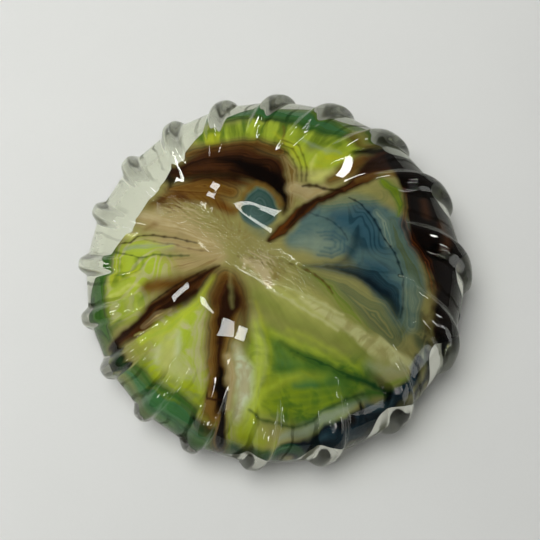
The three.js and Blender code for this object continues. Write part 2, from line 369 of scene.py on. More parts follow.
def end_form_tree(tree, mesh, place):
    """Moves the mesh to its places, welds it, smooths all but its corners and gives it its glass."""
    tree.interface.new_socket("Glass", in_out="INPUT", socket_type="NodeSocketMaterial")
    glass = Term(tree, next(n for n in tree.nodes if n.type == "GROUP_INPUT").outputs["Glass"])
    moved = node(tree, "GeometryNodeSetPosition", None, {"Geometry": mesh, "Position": place})
    welded = node(tree, "GeometryNodeMergeByDistance", None, {"Geometry": moved, "Distance": WELD_DISTANCE})
    corner = node(tree, "GeometryNodeInputMeshEdgeAngle") > SHARP_CORNER
    smooth = node(tree, "GeometryNodeSetShadeSmooth", None, {"Geometry": welded})
    edges = {"Geometry": smooth, "Selection": corner, "Shade Smooth": False}
    sharp = node(tree, "GeometryNodeSetShadeSmooth", {"domain": "EDGE"}, edges)
    real = node(tree, "GeometryNodeRealizeInstances", None, {"Geometry": sharp})
    done = node(tree, "GeometryNodeSetMaterial", None, {"Geometry": real, "Material": glass})
    end = tree.nodes.new("NodeGroupOutput")
    tree.links.new(done.socket, end.inputs["Geometry"])


def rib_wave(g, step):
    """1 on each rib and 0 between two."""
    return ((step - g["Rib start"]) * g["Rib count"]).cos() * 0.5 + 0.5


def dent_depth(g, turn):
    """How far the rib that stands at a turn pressed the core in."""
    step = turn - g["Rib drift"] * ((turn - g["Rib drift turn"]) * 2.0).cos()
    near = (turn - g["Dent turn"]).cos() * 0.5 + 0.5
    return g["Dent depth"] * rib_wave(g, step) * blend(g["Dent least"], 1.0, near**3.0)


def form_place(g, turn, sweep, depth):
    """Place of a form's point under its skin by depth: turn is about the pole, sweep runs from the pole
    over the widest level to the foot."""
    sin = abs(sweep.sin())
    cos = abs(sweep.cos())
    across = sin ** (2.0 / g["Section power"])
    upward = cos ** (2.0 / g["Section power"])
    pole = (g["Pole X"], g["Pole Y"])
    middle = (g["Middle X"], g["Middle Y"])
    radius = g["Radius"] - depth
    flat_distance = g["Flat distance"] - depth
    outline = form_reach(turn, pole, middle, radius, flat_distance, g["Flat turn"], g["Flat sharpness"])
    reach = outline - dent_depth(g, turn)
    wide = (pole[0] + reach * turn.cos(), pole[1] + reach * turn.sin())
    wide_length = (wide[0] * wide[0] + wide[1] * wide[1]).sqrt()
    below = sweep > math.pi / 2
    inner = [blend(p, w / wide_length * g["Foot radius"], below) for p, w in zip(pole, wide)]
    flat_x = blend(inner[0], wide[0], across)
    flat_y = blend(inner[1], wide[1], across)
    rise_by = blend(g["Crown"] - depth, (g["Belly"] - depth) * -1.0, below)
    return flat_x, flat_y, g["Level"] + rise_by * upward


def pebble_tree(name, columns):
    """A closed form from its pole to its ground face, with ribs and a crease."""
    tree, g = new_form_tree(name, {**FORM_INPUTS, **RIB_INPUTS})
    closing_rows = 2
    rows = FORM_ROWS + closing_rows
    counts = {"Size X": 1.0, "Size Y": 1.0, "Vertices X": columns + 1, "Vertices Y": rows}
    grid = node(tree, "GeometryNodeMeshGrid", None, counts)
    x, y, z = split(tree, node(tree, "GeometryNodeInputPosition"))
    step = (x + 0.5) * (2 * math.pi) + g["Rib start"]
    turn = step + g["Rib drift"] * ((step - g["Rib drift turn"]) * 2.0).cos()
    row = (0.5 - y) * (rows - 1)
    sweep = (row / (FORM_ROWS - 1)).least(1.0) * math.pi
    to_ground = row > FORM_ROWS - 0.5
    to_middle = row > FORM_ROWS + 0.5
    x, y, z = form_place(g, turn, sweep, 0.0)
    toward_pole = (1.0 - sweep / (math.pi / 2)).most(0.0)
    wave = rib_wave(g, step - g["Rib lean"] * toward_pole)
    rounded_top, soft_foot = 0.84, 0.11
    section = rise(wave, 0.58, 1.0) * rounded_top + wave * soft_foot
    upper = rise(sweep, g["Rib fade from"], g["Rib fade to"])
    lower = blend(1.0, g["Rib at foot"], rise(sweep, math.pi / 2, math.pi))
    rib = g["Rib height"] * section * upper * lower
    outward = sweep.least(math.pi / 2)
    x = x + rib * outward.sin() * turn.cos()
    y = y + rib * outward.sin() * turn.sin()
    aside = (x - g["Pole X"]) / g["Crease width"]
    crease = g["Crease height"] * (aside * aside * -1.0).exp() * (1.0 - rise(sweep, 0.0, g["Crease end"]))
    z = z + rib * outward.cos() + crease
    stays = 1.0 - to_middle
    place = join(tree, x * stays + g["Shift X"], y * stays + g["Shift Y"], z * (1.0 - to_ground))
    end_form_tree(tree, grid, place)
    return tree


def seam_turn(tree, seam, way):
    """Turn of a seam at a share of the way from the crown cap to the belt: a curve through three turns."""
    at_cap, half_way, at_belt = split(tree, seam)
    bow = half_way * 2.0 - (at_cap + at_belt) * 0.5
    return blend(blend(at_cap, bow, way), blend(bow, at_belt, way), way)


def skin_tree(name):
    """A closed slab of the coloured skin between two seams and two sweeps."""
    tree, g = new_form_tree(name, {**FORM_INPUTS, **SKIN_INPUTS})
    counts = {"Size": (1, 1, 1), "Vertices X": g["Columns"], "Vertices Y": g["Rows"], "Vertices Z": 2}
    slab = node(tree, "GeometryNodeMeshCube", None, counts)
    x, y, z = split(tree, node(tree, "GeometryNodeInputPosition"))
    sweep = blend(g["From sweep"], g["To sweep"], y + 0.5)
    way = ((sweep - g["Cap sweep"]) / (g["Belt sweep"] - g["Cap sweep"])).within(0.0, 1.0)
    turn = blend(seam_turn(tree, g["To seam"], way), seam_turn(tree, g["From seam"], way), x + 0.5)
    rise_sweep, end_share = 0.3, 0.12
    at_belt = rise(sweep, g["Belt sweep"], g["Belt sweep"] + rise_sweep) * rise(0.5 - abs(x), 0.0, end_share)
    swell = (z + 0.5) * g["Swell"] * at_belt
    x, y, z = form_place(g, turn, sweep, (0.5 - z) * g["Thickness"] - swell)
    end_form_tree(tree, slab, join(tree, x + g["Shift X"], y + g["Shift Y"], z))
    return tree


def cap_tree(name):
    """A closed round cap of the skin over the pole: its top out to the edge, then its underside."""
    tree, g = new_form_tree(name, {**FORM_INPUTS, **SKIN_INPUTS})
    counts = {"Size X": 1.0, "Size Y": 1.0, "Vertices X": g["Columns"], "Vertices Y": g["Rows"]}
    grid = node(tree, "GeometryNodeMeshGrid", None, counts)
    x, y, z = split(tree, node(tree, "GeometryNodeInputPosition"))
    sweep = g["To sweep"] * (1.0 - abs(y) * 2.0)
    underside = y < -1e-4
    x, y, z = form_place(g, (x + 0.5) * (2 * math.pi), sweep, underside * g["Thickness"])
    end_form_tree(tree, grid, join(tree, x + g["Shift X"], y + g["Shift Y"], z))
    return tree


def form_values(sizes, depth, foot):
    """The form inputs of the layer at a depth under the casing's hollow."""
    return {
        "Middle X": sizes.core_shift_x,
        "Middle Y": sizes.core_shift_y,
        "Radius": sizes.body_radius - sizes.side_cover - depth,
        "Flat distance": sizes.body_radius - sizes.hinge_cover - depth,
        "Crown": sizes.crown_height - sizes.crown_cover - depth,
        "Belly": sizes.belly_height - sizes.belly_cover - depth,
        "Foot radius": foot,
        "Dent depth": sizes.dent_depth,
    }


def casing_values(sizes):
    """The form inputs of the casing, which has no flat side: its flat lies far out."""
    return {
        "Middle X": 0.0,
        "Middle Y": 0.0,
        "Radius": sizes.body_radius,
        "Flat distance": 50 * sizes.body_radius,
        "Crown": sizes.crown_height,
        "Belly": sizes.belly_height,
        "Foot radius": sizes.foot_radius,
        "Rib height": sizes.rib_height,
        "Crease height": sizes.crease_height,
    }


# Form inputs that have the name of the size that they take
NAMED_AS_SIZES = (
    "Pole X", "Pole Y", "Section power", "Rib start", "Rib drift", "Rib drift turn", "Rib fade from",
    "Rib fade to", "Rib at foot", "Rib lean", "Dent turn", "Dent least", "Crease width", "Crease end",
)


def common_values(sizes):
    """The form inputs that the layers share. A layer has ribs, dents or a crease only where it sets them."""
    shift = frame_shift(sizes)
    return {
        **{label: getattr(sizes, label.lower().replace(" ", "_")) for label in NAMED_AS_SIZES},
        "Flat turn": sizes.hinge_turn,
        "Flat sharpness": sizes.hinge_sharpness,
        "Level": sizes.belly_height,
        "Shift X": shift.x,
        "Shift Y": shift.y,
        "Rib count": float(sizes.rib_count),
        "Rib height": 0.0,
        "Dent depth": 0.0,
        "Crease height": 0.0,
    }


def frame_shift(sizes):
    """From the casing's own middle to the frame's origin: the crests of the ribs give the overall box."""
    pole = Vector((sizes.pole_x, sizes.pole_y))
    crests = []
    for rib in range(sizes.rib_count):
        step = sizes.rib_start + rib * 2 * math.pi / sizes.rib_count
        turn = step + sizes.rib_drift * math.cos(2 * (step - sizes.rib_drift_turn))
        along = Vector((math.cos(turn), math.sin(turn)))
        forward = pole.dot(along)
        reach = math.sqrt(forward**2 - pole.length_squared + sizes.body_radius**2) - forward
        crests.append(pole + along * (reach + sizes.rib_height))
    middle = Vector([(min(c[i] for c in crests) + max(c[i] for c in crests)) / 2 for i in (0, 1)])
    low, high = CASING_BOX
    return (low.xy + high.xy) / 2 - middle


def build(name, tree, values, glass, nodes):
    """Runs a geometry tree with its inputs set and keeps the result as a plain mesh on the body."""
    values = {**values, "Glass": glass}
    carrier = bpy.data.objects.new(name + "_maker", bpy.data.meshes.new(name + "_maker"))
    bpy.context.scene.collection.objects.link(carrier)
    modifier = carrier.modifiers.new("form", "NODES")
    modifier.node_group = tree
    sockets = {s.name: s.identifier for s in tree.interface.items_tree if s.in_out == "INPUT"}
    for label, value in values.items():
        if label in sockets:
            modifier[sockets[label]] = value
    graph = bpy.context.evaluated_depsgraph_get()
    mesh = bpy.data.meshes.new_from_object(carrier.evaluated_get(graph))
    bpy.data.objects.remove(carrier)
    mesh.name = name
    piece = bpy.data.objects.new(name, mesh)
    bpy.context.scene.collection.objects.link(piece)
    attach(piece, "root")
    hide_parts(*nodes)
    return piece


# Glass


def new_material(name):
    material = bpy.data.materials.new(name)
    material.use_nodes = True
    material.node_tree.nodes.clear()
    return material, material.node_tree


def finish_material(tree, shader):
    end = tree.nodes.new("ShaderNodeOutputMaterial")
    tree.links.new(shader.socket, end.inputs["Surface"])


def mix_shaders(low, high, factor):
    tree = low.tree
    return node(tree, "ShaderNodeMixShader", None, {0: factor, 1: low, 2: high})


def rib_fold_shade_lines(tree, sizes, aside, along, z):
    """Thin lines that lean with the ribs and run in over the shoulder: one on each rib's flank and a fainter
    one in its flute. Along them the glass is tinted darker, as painted shade where the ribs would bend the
    light away."""
    lean_at_crown = 0.68
    flank_phase, flute_phase = 1.7, 2.3
    flute_share = 0.7
    waver, ragged_end = 2.0, 14.0
    inward = ((z - sizes.belly_height / MM) * (lean_at_crown * MM / sizes.crown_height)).most(0.0)
    turn = along.atan2(aside)
    step = turn - ((turn - sizes.rib_drift_turn) * 2.0).cos() * sizes.rib_drift
    uneven = noise(join(tree, aside, along, z), 0.13) - 0.5
    phase = (step - sizes.rib_start - inward * sizes.rib_lean) * float(sizes.rib_count) + uneven * waver
    on_flank = rise((phase + flank_phase).cos(), 0.93, 0.99)
    in_flute = rise((phase - flute_phase).cos(), 0.97, 0.995) * flute_share
    below_crown = 1.0 - rise(z + uneven * ragged_end, 15.0, 23.0)
    return on_flank.most(in_flute) * rise(z, 8.0, 11.0) * below_crown


def glass_surface(tree, point, crease):
    """The slow wave of the casing's surface, and its normals, with fine chatter along the crease too."""
    x, y, z = split(tree, point)
    chatter_height, wave_height = 2.2, 0.3
    wave = noise(point, 0.11, detail=0.0)
    chatter = noise(join(tree, x * 0.9, y * 0.32, z * 0.5), 1.0, distortion=0.8) * crease * chatter_height
    bump = {"Height": chatter + wave * wave_height, "Distance": 0.0007, "Strength": 1.0}
    return wave, node(tree, "ShaderNodeBump", None, bump)


def clear_glass(colours, sizes):
    """Clear glass that lets the lamps through to what lies in it: wavy, tinted darker beside its ribs as
    painted shade, chattered along its crease, with a pale dull frost round its foot that is painted light,
    and dull where it was ground."""
    material, tree = new_material("clear_glass")
    tint = (*colours.clear, 1)
    point = place_in_millimetres(tree)
    x, y, z = split(tree, point)
    shift = frame_shift(sizes)
    aside = x - (sizes.pole_x + shift.x) / MM
    along = y - (sizes.pole_y + shift.y) / MM
    crease_width = 2.6
    crease = (aside * aside / -(crease_width**2)).exp() * (1.0 - rise(abs(along), 12.0, 24.0))
    wave, normal = glass_surface(tree, point, crease)
    ground = (1.0 - rise(z, 0.05, 0.3)) * blend(0.2, 0.45, noise(point, 2.0, detail=3.0))
    inputs = {"Color": tint, "Roughness": ground, "IOR": 1.5, "Normal": normal}
    glass = node(tree, "ShaderNodeBsdfGlass", None, inputs)
    # Painted shade: a darker copy of the glass along lines beside the ribs
    fold_shaded_glass = node(tree, "ShaderNodeBsdfGlass", None, {**inputs, "Color": (*colours.fold_shade, 1)})
    glass = mix_shaders(glass, fold_shaded_glass, rib_fold_shade_lines(tree, sizes, aside, along, z) * rise(wave, 0.3, 0.6))
    radius = join(tree, x, y, 0.0).length()
    # Painted light: a pale diffuse frost round the foot brightens the clear rim, in place of the light that
    # the glass gathers there
    painted_light_frost_inputs = {"Base Color": (*colours.painted_light_frost, 1), "Roughness": 0.6, "Specular IOR Level": 0.0}
    painted_light_frost = node(tree, "ShaderNodeBsdfPrincipled", None, painted_light_frost_inputs)
    painted_light_frost_cover = 0.3
    round_foot = (1.0 - rise(z, 3.0, 7.5)) * rise(radius, 30.0, 36.0)
    glass = mix_shaders(glass, painted_light_frost, round_foot * painted_light_frost_cover)
    through = node(tree, "ShaderNodeBsdfTransparent", None, {"Color": tint})
    shaded = node(tree, "ShaderNodeBsdfTransparent", None, {"Color": (0.15, 0.15, 0.14, 1)})
    under_belly = rise(radius, 38.0, 45.0) * (1.0 - rise(z, 6.0, 10.0))
    straight = mix_shaders(through, shaded, under_belly)
    path = node(tree, "ShaderNodeLightPath").socket.node
    unbent = Term(tree, path.outputs["Is Shadow Ray"]).most(Term(tree, path.outputs["Is Diffuse Ray"]))
    finish_material(tree, mix_shaders(glass, straight, unbent))
    return material


def opal_glass(colours, sizes):
    """Cloudy glass with clouds and milky bands that wind round it, stained on the side of the brown rim."""
    material, tree = new_material("opal_glass")
    point = place_in_millimetres(tree)
    cloud = noise(point, 0.08, detail=4.0, distortion=1.2)
    bands = noise(point * (0.1, 0.1, 0.8), 1.0, detail=3.0)
    shade = mix_colours((*colours.opal, 1), (*colours.khaki, 1), rise(cloud, 0.35, 0.65))
    shade = mix_colours(shade, (*colours.tan, 1), rise(bands, 0.5, 0.75) * 0.6)
    past_right = 0.1
    brown_turn = sizes.fan_turn + past_right
    toward_brown = Vector((math.cos(brown_turn), math.sin(brown_turn), 0))
    stain = rise(point.dot(toward_brown) + cloud * 14.0, 18.0, 36.0)
    shade = mix_colours(shade, (*colours.dark_brown, 1), stain)
    inputs = {"Base Color": shade, "Roughness": blend(0.45, 0.7, cloud), "Specular IOR Level": 0.0}
    finish_material(tree, node(tree, "ShaderNodeBsdfPrincipled", None, inputs))
    return material


# The drawing of the colours


STROKE_INPUTS = {
    **dict.fromkeys(("Under", "Shade", "Lines"), "NodeSocketColor"),
    "Place": "NodeSocketVector",
    **numbers("Pattern", "Strength", "Soft", "Cover"),
}


def stroke_group(count, along_edges):
    """A node group that lays a stroke through a number of points over the shade that is there."""
    name = f"stroke_through_{count}" + ("_with_edge_lines" if along_edges else "")
    if name in bpy.data.node_groups:
        return bpy.data.node_groups[name]
    tree = bpy.data.node_groups.new(name, "ShaderNodeTree")
    points = [f"Point {i}" for i in range(count)]
    for label, kind in {**STROKE_INPUTS, **dict.fromkeys(points, "NodeSocketVector")}.items():
        tree.interface.new_socket(label, in_out="INPUT", socket_type=kind)
    tree.interface.new_socket("Over", in_out="OUTPUT", socket_type="NodeSocketColor")
    group = tree.nodes.new("NodeGroupInput")
    g = {label: Term(tree, group.outputs[label]) for label in (*STROKE_INPUTS, *points)}
    depth = stroke_depth(tree, g["Place"], [g[label] for label in points])
    pattern = g["Pattern"]
    if along_edges:
        lines_across, waver = 1.6, 2.0
        line = {"W": depth * lines_across + pattern * waver, "Scale": 1.0, "Detail": 2.0}
        pattern = node(tree, "ShaderNodeTexNoise", {"noise_dimensions": "1D"}, line)
    shade = mix_colours(g["Shade"], g["Lines"], rise(pattern, 0.42, 0.66) * g["Strength"])
    edge = {"Value": depth, "From Min": g["Soft"], "From Max": -g["Soft"], "To Max": g["Cover"]}
    mask = node(tree, "ShaderNodeMapRange", {"interpolation_type": "SMOOTHSTEP"}, edge)
    over = mix_colours(g["Under"], shade, mask)
    end = tree.nodes.new("NodeGroupOutput")
    tree.links.new(over.socket, end.inputs["Over"])
    return tree


def stroke_depth(tree, place, points):
    """Distance outside a stroke, or below 0 how deep inside it. A point's third number is its half width."""
    flat = [point * (1, 1, 0) for point in points]
    width = [split(tree, point)[2] for point in points]
    nearest = None
    for i in range(max(1, len(points) - 1)):
        offset = place - flat[i]
        away = offset.length() - width[i]
        if len(points) > 1:
            along = flat[i + 1] - flat[i]
            way = (offset.dot(along) / along.dot(along)).within(0.0, 1.0)
            away = (offset - along.scaled(way)).length() - blend(width[i], width[i + 1], way)
        nearest = away if nearest is None else nearest.apply("SMOOTH_MIN", away, 1.0)
    return nearest


class FanPaint:
    """Lays the colours of the fan on one piece, stroke over stroke. Places and widths are millimetres across
    and up from the pole, as the weight is seen with its fan spread downwards."""

    wander = 1.1  # how far the edges of the strokes wander
    margin = 3.0  # how far past its soft edge a stroke still counts as near a piece

    def __init__(self, tree, piece, sizes, colours):
        self.tree = tree
        self.colours = colours
        shift = frame_shift(sizes)
        pole = (sizes.pole_x + shift.x, sizes.pole_y + shift.y)
        right = Vector((math.cos(sizes.fan_turn), math.sin(sizes.fan_turn), 0))
        up = Vector((-right.y, right.x, 0))
        spots = [v.co - Vector((*pole, 0)) for v in piece.data.vertices]
        self.across = [f(spot.dot(right) for spot in spots) / MM for f in (min, max)]
        self.upward = [f(spot.dot(up) for spot in spots) / MM for f in (min, max)]
        self.point = place_in_millimetres(tree)
        start = Vector((*pole, 0)) / MM
        across = self.point.dot(right) - right.dot(start)
        upward = self.point.dot(up) - up.dot(start)
        true_place = join(tree, across, upward, 0.0)
        drift = noise(self.point, 0.13, detail=3.5, output="Color") - (0.5, 0.5, 0.5)
        self.place = drift * (2 * self.wander, 2 * self.wander, 0) + true_place
        self.grains = {}
        self.shade = self.colour("khaki")

    def colour(self, name):
        return (*getattr(self.colours, name), 1)

    def near(self, points, reach):
        """Whether a stroke comes near the piece."""
        for way, (low, high) in enumerate((self.across, self.upward)):
            first = min(p[way] - p[2] for p in points) - reach
            last = max(p[way] + p[2] for p in points) + reach
            if last < low or first > high:
                return False
        return True

    def grain(self, kind):
        """A pattern in the glass, made once for each piece that has it."""
        if kind in self.grains:
            return self.grains[kind]
        if kind == "edges":
            made = noise(self.point, 0.15, detail=1.0)
        elif kind == "swirls":
            made = noise(self.point, 0.16, detail=3.0, distortion=2.2)
        elif kind == "rays":
            rays_round, drift_outward = 16.0, 0.07
            away = self.place.length()
            ray = (self.place / join(self.tree, away, away, 1.0)).scaled(rays_round)
            outward = join(self.tree, 0.0, 0.0, away * drift_outward)
            made = noise(ray + outward, 1.0)
        elif kind == "contours":
            steepness = 75.0
            hills = noise(self.point, 0.085, detail=1.0, distortion=0.5)
            lines = (hills * steepness).sin() * 0.5 + 0.5
            made = lines * blend(0.55, 1.0, noise(self.point, 0.2, detail=3.0))
        self.grains[kind] = made
        return made

    def stroke(self, shade, soft, points, cover=1.0, strength=0.6, **lines):
        """One stroke through (across, up, half width) points, its edge as soft as given. Lines of a second
        shade in it are named by their pattern: edges run along the stroke, rays run out from the pole,
        swirls curl and contours go round low hills."""
        if not self.near(points, soft + self.margin):
            return
        inputs = {
            "Under": self.shade,
            "Place": self.place,
            "Shade": self.colour(shade),
            "Soft": soft,
            "Cover": cover,
            **{f"Point {i}": point for i, point in enumerate(points)},
        }
        for kind, second_shade in lines.items():
            inputs["Pattern"] = self.grain(kind)
            inputs["Lines"] = self.colour(second_shade)
            inputs["Strength"] = strength
        group = stroke_group(len(points), "edges" in lines)
        self.shade = node(self.tree, "ShaderNodeGroup", {"node_tree": group}, inputs)

    def line(self, shade, width, *places, soft=0.3, cover=0.9):
        """A thin line of one width through (across, up) places."""
        ends = (places[0], *places, places[-1])
        smooth = [(*places[0], width)]
        for before, start, end, after in zip(ends, ends[1:], ends[2:], ends[3:]):
            middle = [(9 * (s + e) - b - a) / 16 for b, s, e, a in zip(before, start, end, after)]
            smooth += [(*middle, width), (*end, width)]
        self.stroke(shade, soft, smooth, cover=cover)

    def finish(self):
        """Puts the drawing on the material, a little uneven all over."""
        uneven = noise(self.point, 0.5, detail=4.0) - 0.5
        veil = noise(self.point, 0.09) - 0.5
        fibres = self.grain("rays") - 0.5
        light = uneven * 0.2 + veil * 0.3 + fibres * 0.35 + 1.0
        colour = node(self.tree, "ShaderNodeHueSaturation", None, {"Value": light, "Color": self.shade})
        inputs = {"Base Color": colour, "Roughness": 0.5, "Specular IOR Level": 0.0}
        finish_material(self.tree, node(self.tree, "ShaderNodeBsdfPrincipled", None, inputs))


def paint_ground(fan):
    """Milky tan fibres by the hinge, curls of pale glass at the pole, olive under the ridge."""
    # Partly painted shade: the brown glass round the right rim is painted near black where it curves down
    right = [(40, 33, 4), (47.5, 24, 5), (52.5, 13, 6), (54, 2, 6), (53, -8, 6), (49, -18, 4)]
    fan.stroke("black_brown", 1.2, right, edges="dark_brown")
    back = [(-16, 36, 3), (-6, 40, 5), (6, 41.5, 6), (17, 40, 6), (26, 36, 4), (31, 32.6, 2)]
    fan.stroke("green", 1.6, back, cover=0.85, edges="leaf")
    left = [
        (-32, 4, 2), (-35.5, -6, 4.4), (-34.5, -17, 4.4), (-31, -27, 4.4),
        (-24, -36, 5), (-14, -42, 5), (-2, -45.6, 3.6), (8, -46.6, 3),
    ]
    fan.stroke("green", 1.6, left, edges="dark_green")
    fan.stroke("leaf", 5.0, [(5, -12, 3), (14, -16, 4), (27, -22, 4)], cover=0.55)
    fan.stroke("khaki", 3.0, [(-12, 10, 3), (-5, 6, 3), (2, 2, 2)], rays="amber")
    fan.stroke("tan", 2.0, [(-22, 10, 2), (-14, 6, 3.2), (-5, 1, 1.8)], rays="pale_tan", strength=0.9)
    fan.stroke("tan", 1.6, [(-19, 2.5, 1.2), (-12, 0.5, 1.6), (-4, -2, 1.5)], rays="pale_tan")
    fan.stroke("pale_yellow", 3.0, [(8, -8.6, 1.5), (13, -12.4, 2.2), (20, -17, 1.5)], cover=0.45)
    fan.stroke("tan", 1.4, [(-17, -3.5, 1.2), (-11, -3.5, 1.4), (-5, -3, 0.8)], rays="amber")
    fan.stroke("pale_tan", 1.0, [(2, -2.5, 0.7), (5.5, -4.5, 1.3), (7.3, -8.3, 1.0)], swirls="tan")
    fan.stroke(
        "pale_tan", 0.4,
        [(1.2, -5.2, 0.15), (2.2, -3, 0.25), (5, -2.6, 0.3), (7.4, -5.4, 0.35), (7.6, -8.6, 0.2)],
    )
    fan.stroke(
        "pale_tan", 0.4, [(3.2, -6.6, 0.15), (4.5, -4.8, 0.25), (6, -5.6, 0.2), (6.3, -8.6, 0.2)], cover=0.8
    )
    fan.stroke("amber", 0.6, [(8.4, -4.4, 0.3), (8.8, -6.4, 0.5), (9.6, -8.4, 0.3)], cover=0.5)


def paint_pool(fan):
    """The blue pool with its ringed swirl, its deep band and its milky far side."""
    pool = [(13, 2, 2.4), (20, 5, 6.6), (27, 7, 7.6), (32, 3, 8.6), (36, -7, 6), (36, -14, 3)]
    fan.stroke("grey_blue", 1.6, pool, swirls="blue")
    fan.stroke("khaki", 2.2, [(19, 11.2, 0.8), (24, 12.6, 1.8), (32, 14.6, 2.0)], cover=0.6, edges="teal")
    fan.stroke(
        "blue", 2.6, [(23, 8, 2), (28, 7.5, 3.6), (30, 2, 3.6), (32, -3, 3)],
        contours="deep_blue", strength=0.5,
    )
    fan.stroke("mist", 2.6, [(14, 1, 1.4), (18, 1.2, 2.6), (21.5, 0.6, 1.2)], cover=0.55)
    x, y, flattened = 20.2, 1.4, 0.85
    turns = (-2.2, -1.4, -0.5, 0.4, 1.3, 2.3)
    for radius, width in ((1.6, 0.12), (2.9, 0.14), (4.0, 0.18)):
        ring = [(x + radius * math.cos(a), y + flattened * radius * math.sin(a), width) for a in turns]
        fan.stroke("blue", 0.45, ring, cover=0.7)
    fan.stroke(
        "deep_blue", 1.3, [(27, 5, 0.3), (26.4, 1.5, 0.7), (24.6, -1.8, 0.9), (22, -3.6, 0.4)], cover=0.7
    )
    fan.stroke("grey_blue", 1.0, [(31.5, 9.6, 0.6), (33.4, 7, 0.8), (34.6, 2.5, 0.8)], edges="mist")
    band = [
        (14.5, -4.5, 0.2), (20, -4.2, 0.8), (25, -4.6, 1.5),
        (30, -6.2, 2.2), (34, -9.3, 2.4), (35.4, -14.6, 1.0),
    ]
    fan.stroke("deep_blue", 1.4, band, cover=0.9, edges="blue")
    fan.stroke(
        "blue_black", 1.0, [(23, -4.6, 0.2), (29, -6.8, 0.9), (33, -9.6, 1.2), (35, -13.4, 0.5)], cover=0.9
    )
    fan.stroke("grey_blue", 1.6, [(28, -0.6, 0.8), (31, -1.2, 1.2), (34.4, -2.6, 0.8)], cover=0.7)
    side = [(35.4, 8, 0.8), (37, 2, 1.2), (39.2, -3, 1.8), (40, -8, 1.8), (38.4, -13, 1.5), (36, -18, 1.0)]
    fan.stroke("grey_green", 1.3, side, cover=0.95, edges="grey_blue")
    fan.stroke("khaki", 1.0, [(23, 14.4, 0.4), (29, 15.7, 0.9), (33.4, 16.6, 0.8)], cover=0.8)
    fan.stroke(
        "leaf", 0.8, [(33.4, 18.2, 0.8), (36, 16.8, 1.4), (37.2, 13, 0.8), (36.8, 9.6, 0.3)], edges="green"
    )
    fan.line(
        "blue_black", 0.14,
        (25, 13), (28, 11.2), (31, 7.6), (33.4, 3.4), (35.6, 0), (36.7, -4.6), (36.9, -10), (36, -14.5),
    )
    fan.line("deep_blue", 0.1, (16, 9), (20, 7.4), (23, 5.6), (24.6, 2.5), cover=0.6)
    # A small bubble in the pool, drawn in paint: its dark rim and pale ring are painted shade and painted
    # light
    for shade, radius in (("blue_black", 0.62), ("mist", 0.4), ("blue", 0.2)):
        fan.stroke(shade, 0.12, [(36.2, -5.3, radius)])


def paint_arm(fan):
    """The brown trail from the pole to the dark rim, and the rim."""
    fan.stroke("tan", 1.3, [(12.6, 14.6, 1.7), (16, 13.3, 1.6), (20, 15.3, 0.7)], edges="pale_tan")
    fan.stroke("pale_tan", 0.9, [(13, 15.4, 0.5), (16.5, 14.2, 0.6)], cover=0.6)
    fan.stroke("amber", 1.4, [(21, 17.6, 0.8), (25.6, 20.6, 1.8), (29.4, 24, 1.6)], edges="brown")
    trail = [
        (6.8, 1.6, 0.7), (10, 4.6, 1.3), (14, 8.9, 1.4), (19, 12.4, 0.9),
        (24, 15.2, 0.9), (29, 19, 1.7), (36, 25, 4),
    ]
    fan.stroke("brown", 0.7, trail, edges="dark_brown", strength=0.9)
    fan.stroke(
        "dark_brown", 0.5,
        [(11, 5.2, 0.2), (14.2, 9, 0.7), (15, 10.3, 0.6), (18.6, 12.2, 0.3), (23.6, 14.6, 0.2)],
    )
    fan.stroke("orange", 0.6, [(7.6, 2.4, 0.3), (9.6, 4.8, 0.3), (12.4, 8.2, 0.2)], cover=0.5)
    fan.line("dark_brown", 0.3, (14.8, 15.3), (18, 15.7), (21.6, 15), (23.6, 14.9), soft=0.4)
    fan.stroke("dark_brown", 1.4, [(28.6, 20.6, 1.0), (33, 23.4, 2.6), (38, 26, 4)])
    fan.stroke("black_brown", 1.2, [(27.4, 26.4, 0.7), (31, 27, 1.4), (35, 27.6, 2.2)], cover=0.95)
    fan.stroke("brown", 0.8, [(30, 24.2, 0.5), (34, 27.4, 0.5)], cover=0.6)
    fan.stroke("amber", 0.6, [(27, 17.6, 0.3), (32, 19.6, 0.3), (37, 20, 0.5)], cover=0.9)
    # Partly painted shade: the rim is painted near black where it curves down
    rim = [
        (38.6, 25, 4), (42, 18, 3.9), (43.4, 11, 4.6), (45, 5, 5.6),
        (48.5, -2, 5.0), (48.5, -10, 4), (46.5, -17, 2.2),
    ]
    fan.stroke("black_brown", 0.7, rim)
    edge = [
        (38.3, 18, 0.4), (38.3, 12, 0.4), (38.2, 6.6, 0.6), (39.8, 2.6, 0.8),
        (42.4, -0.8, 0.8), (43.6, -6, 0.6), (44, -12, 0.4),
    ]
    fan.stroke("orange", 0.9, edge, cover=0.85, edges="black_brown", strength=0.9)
    fan.stroke("brown", 1.0, [(42.6, 14.6, 0.8), (43.4, 10.6, 0.8)], cover=0.5)
    fan.stroke("brown", 1.2, [(46.6, 9.4, 0.8), (47.4, 4, 0.8)], cover=0.55)


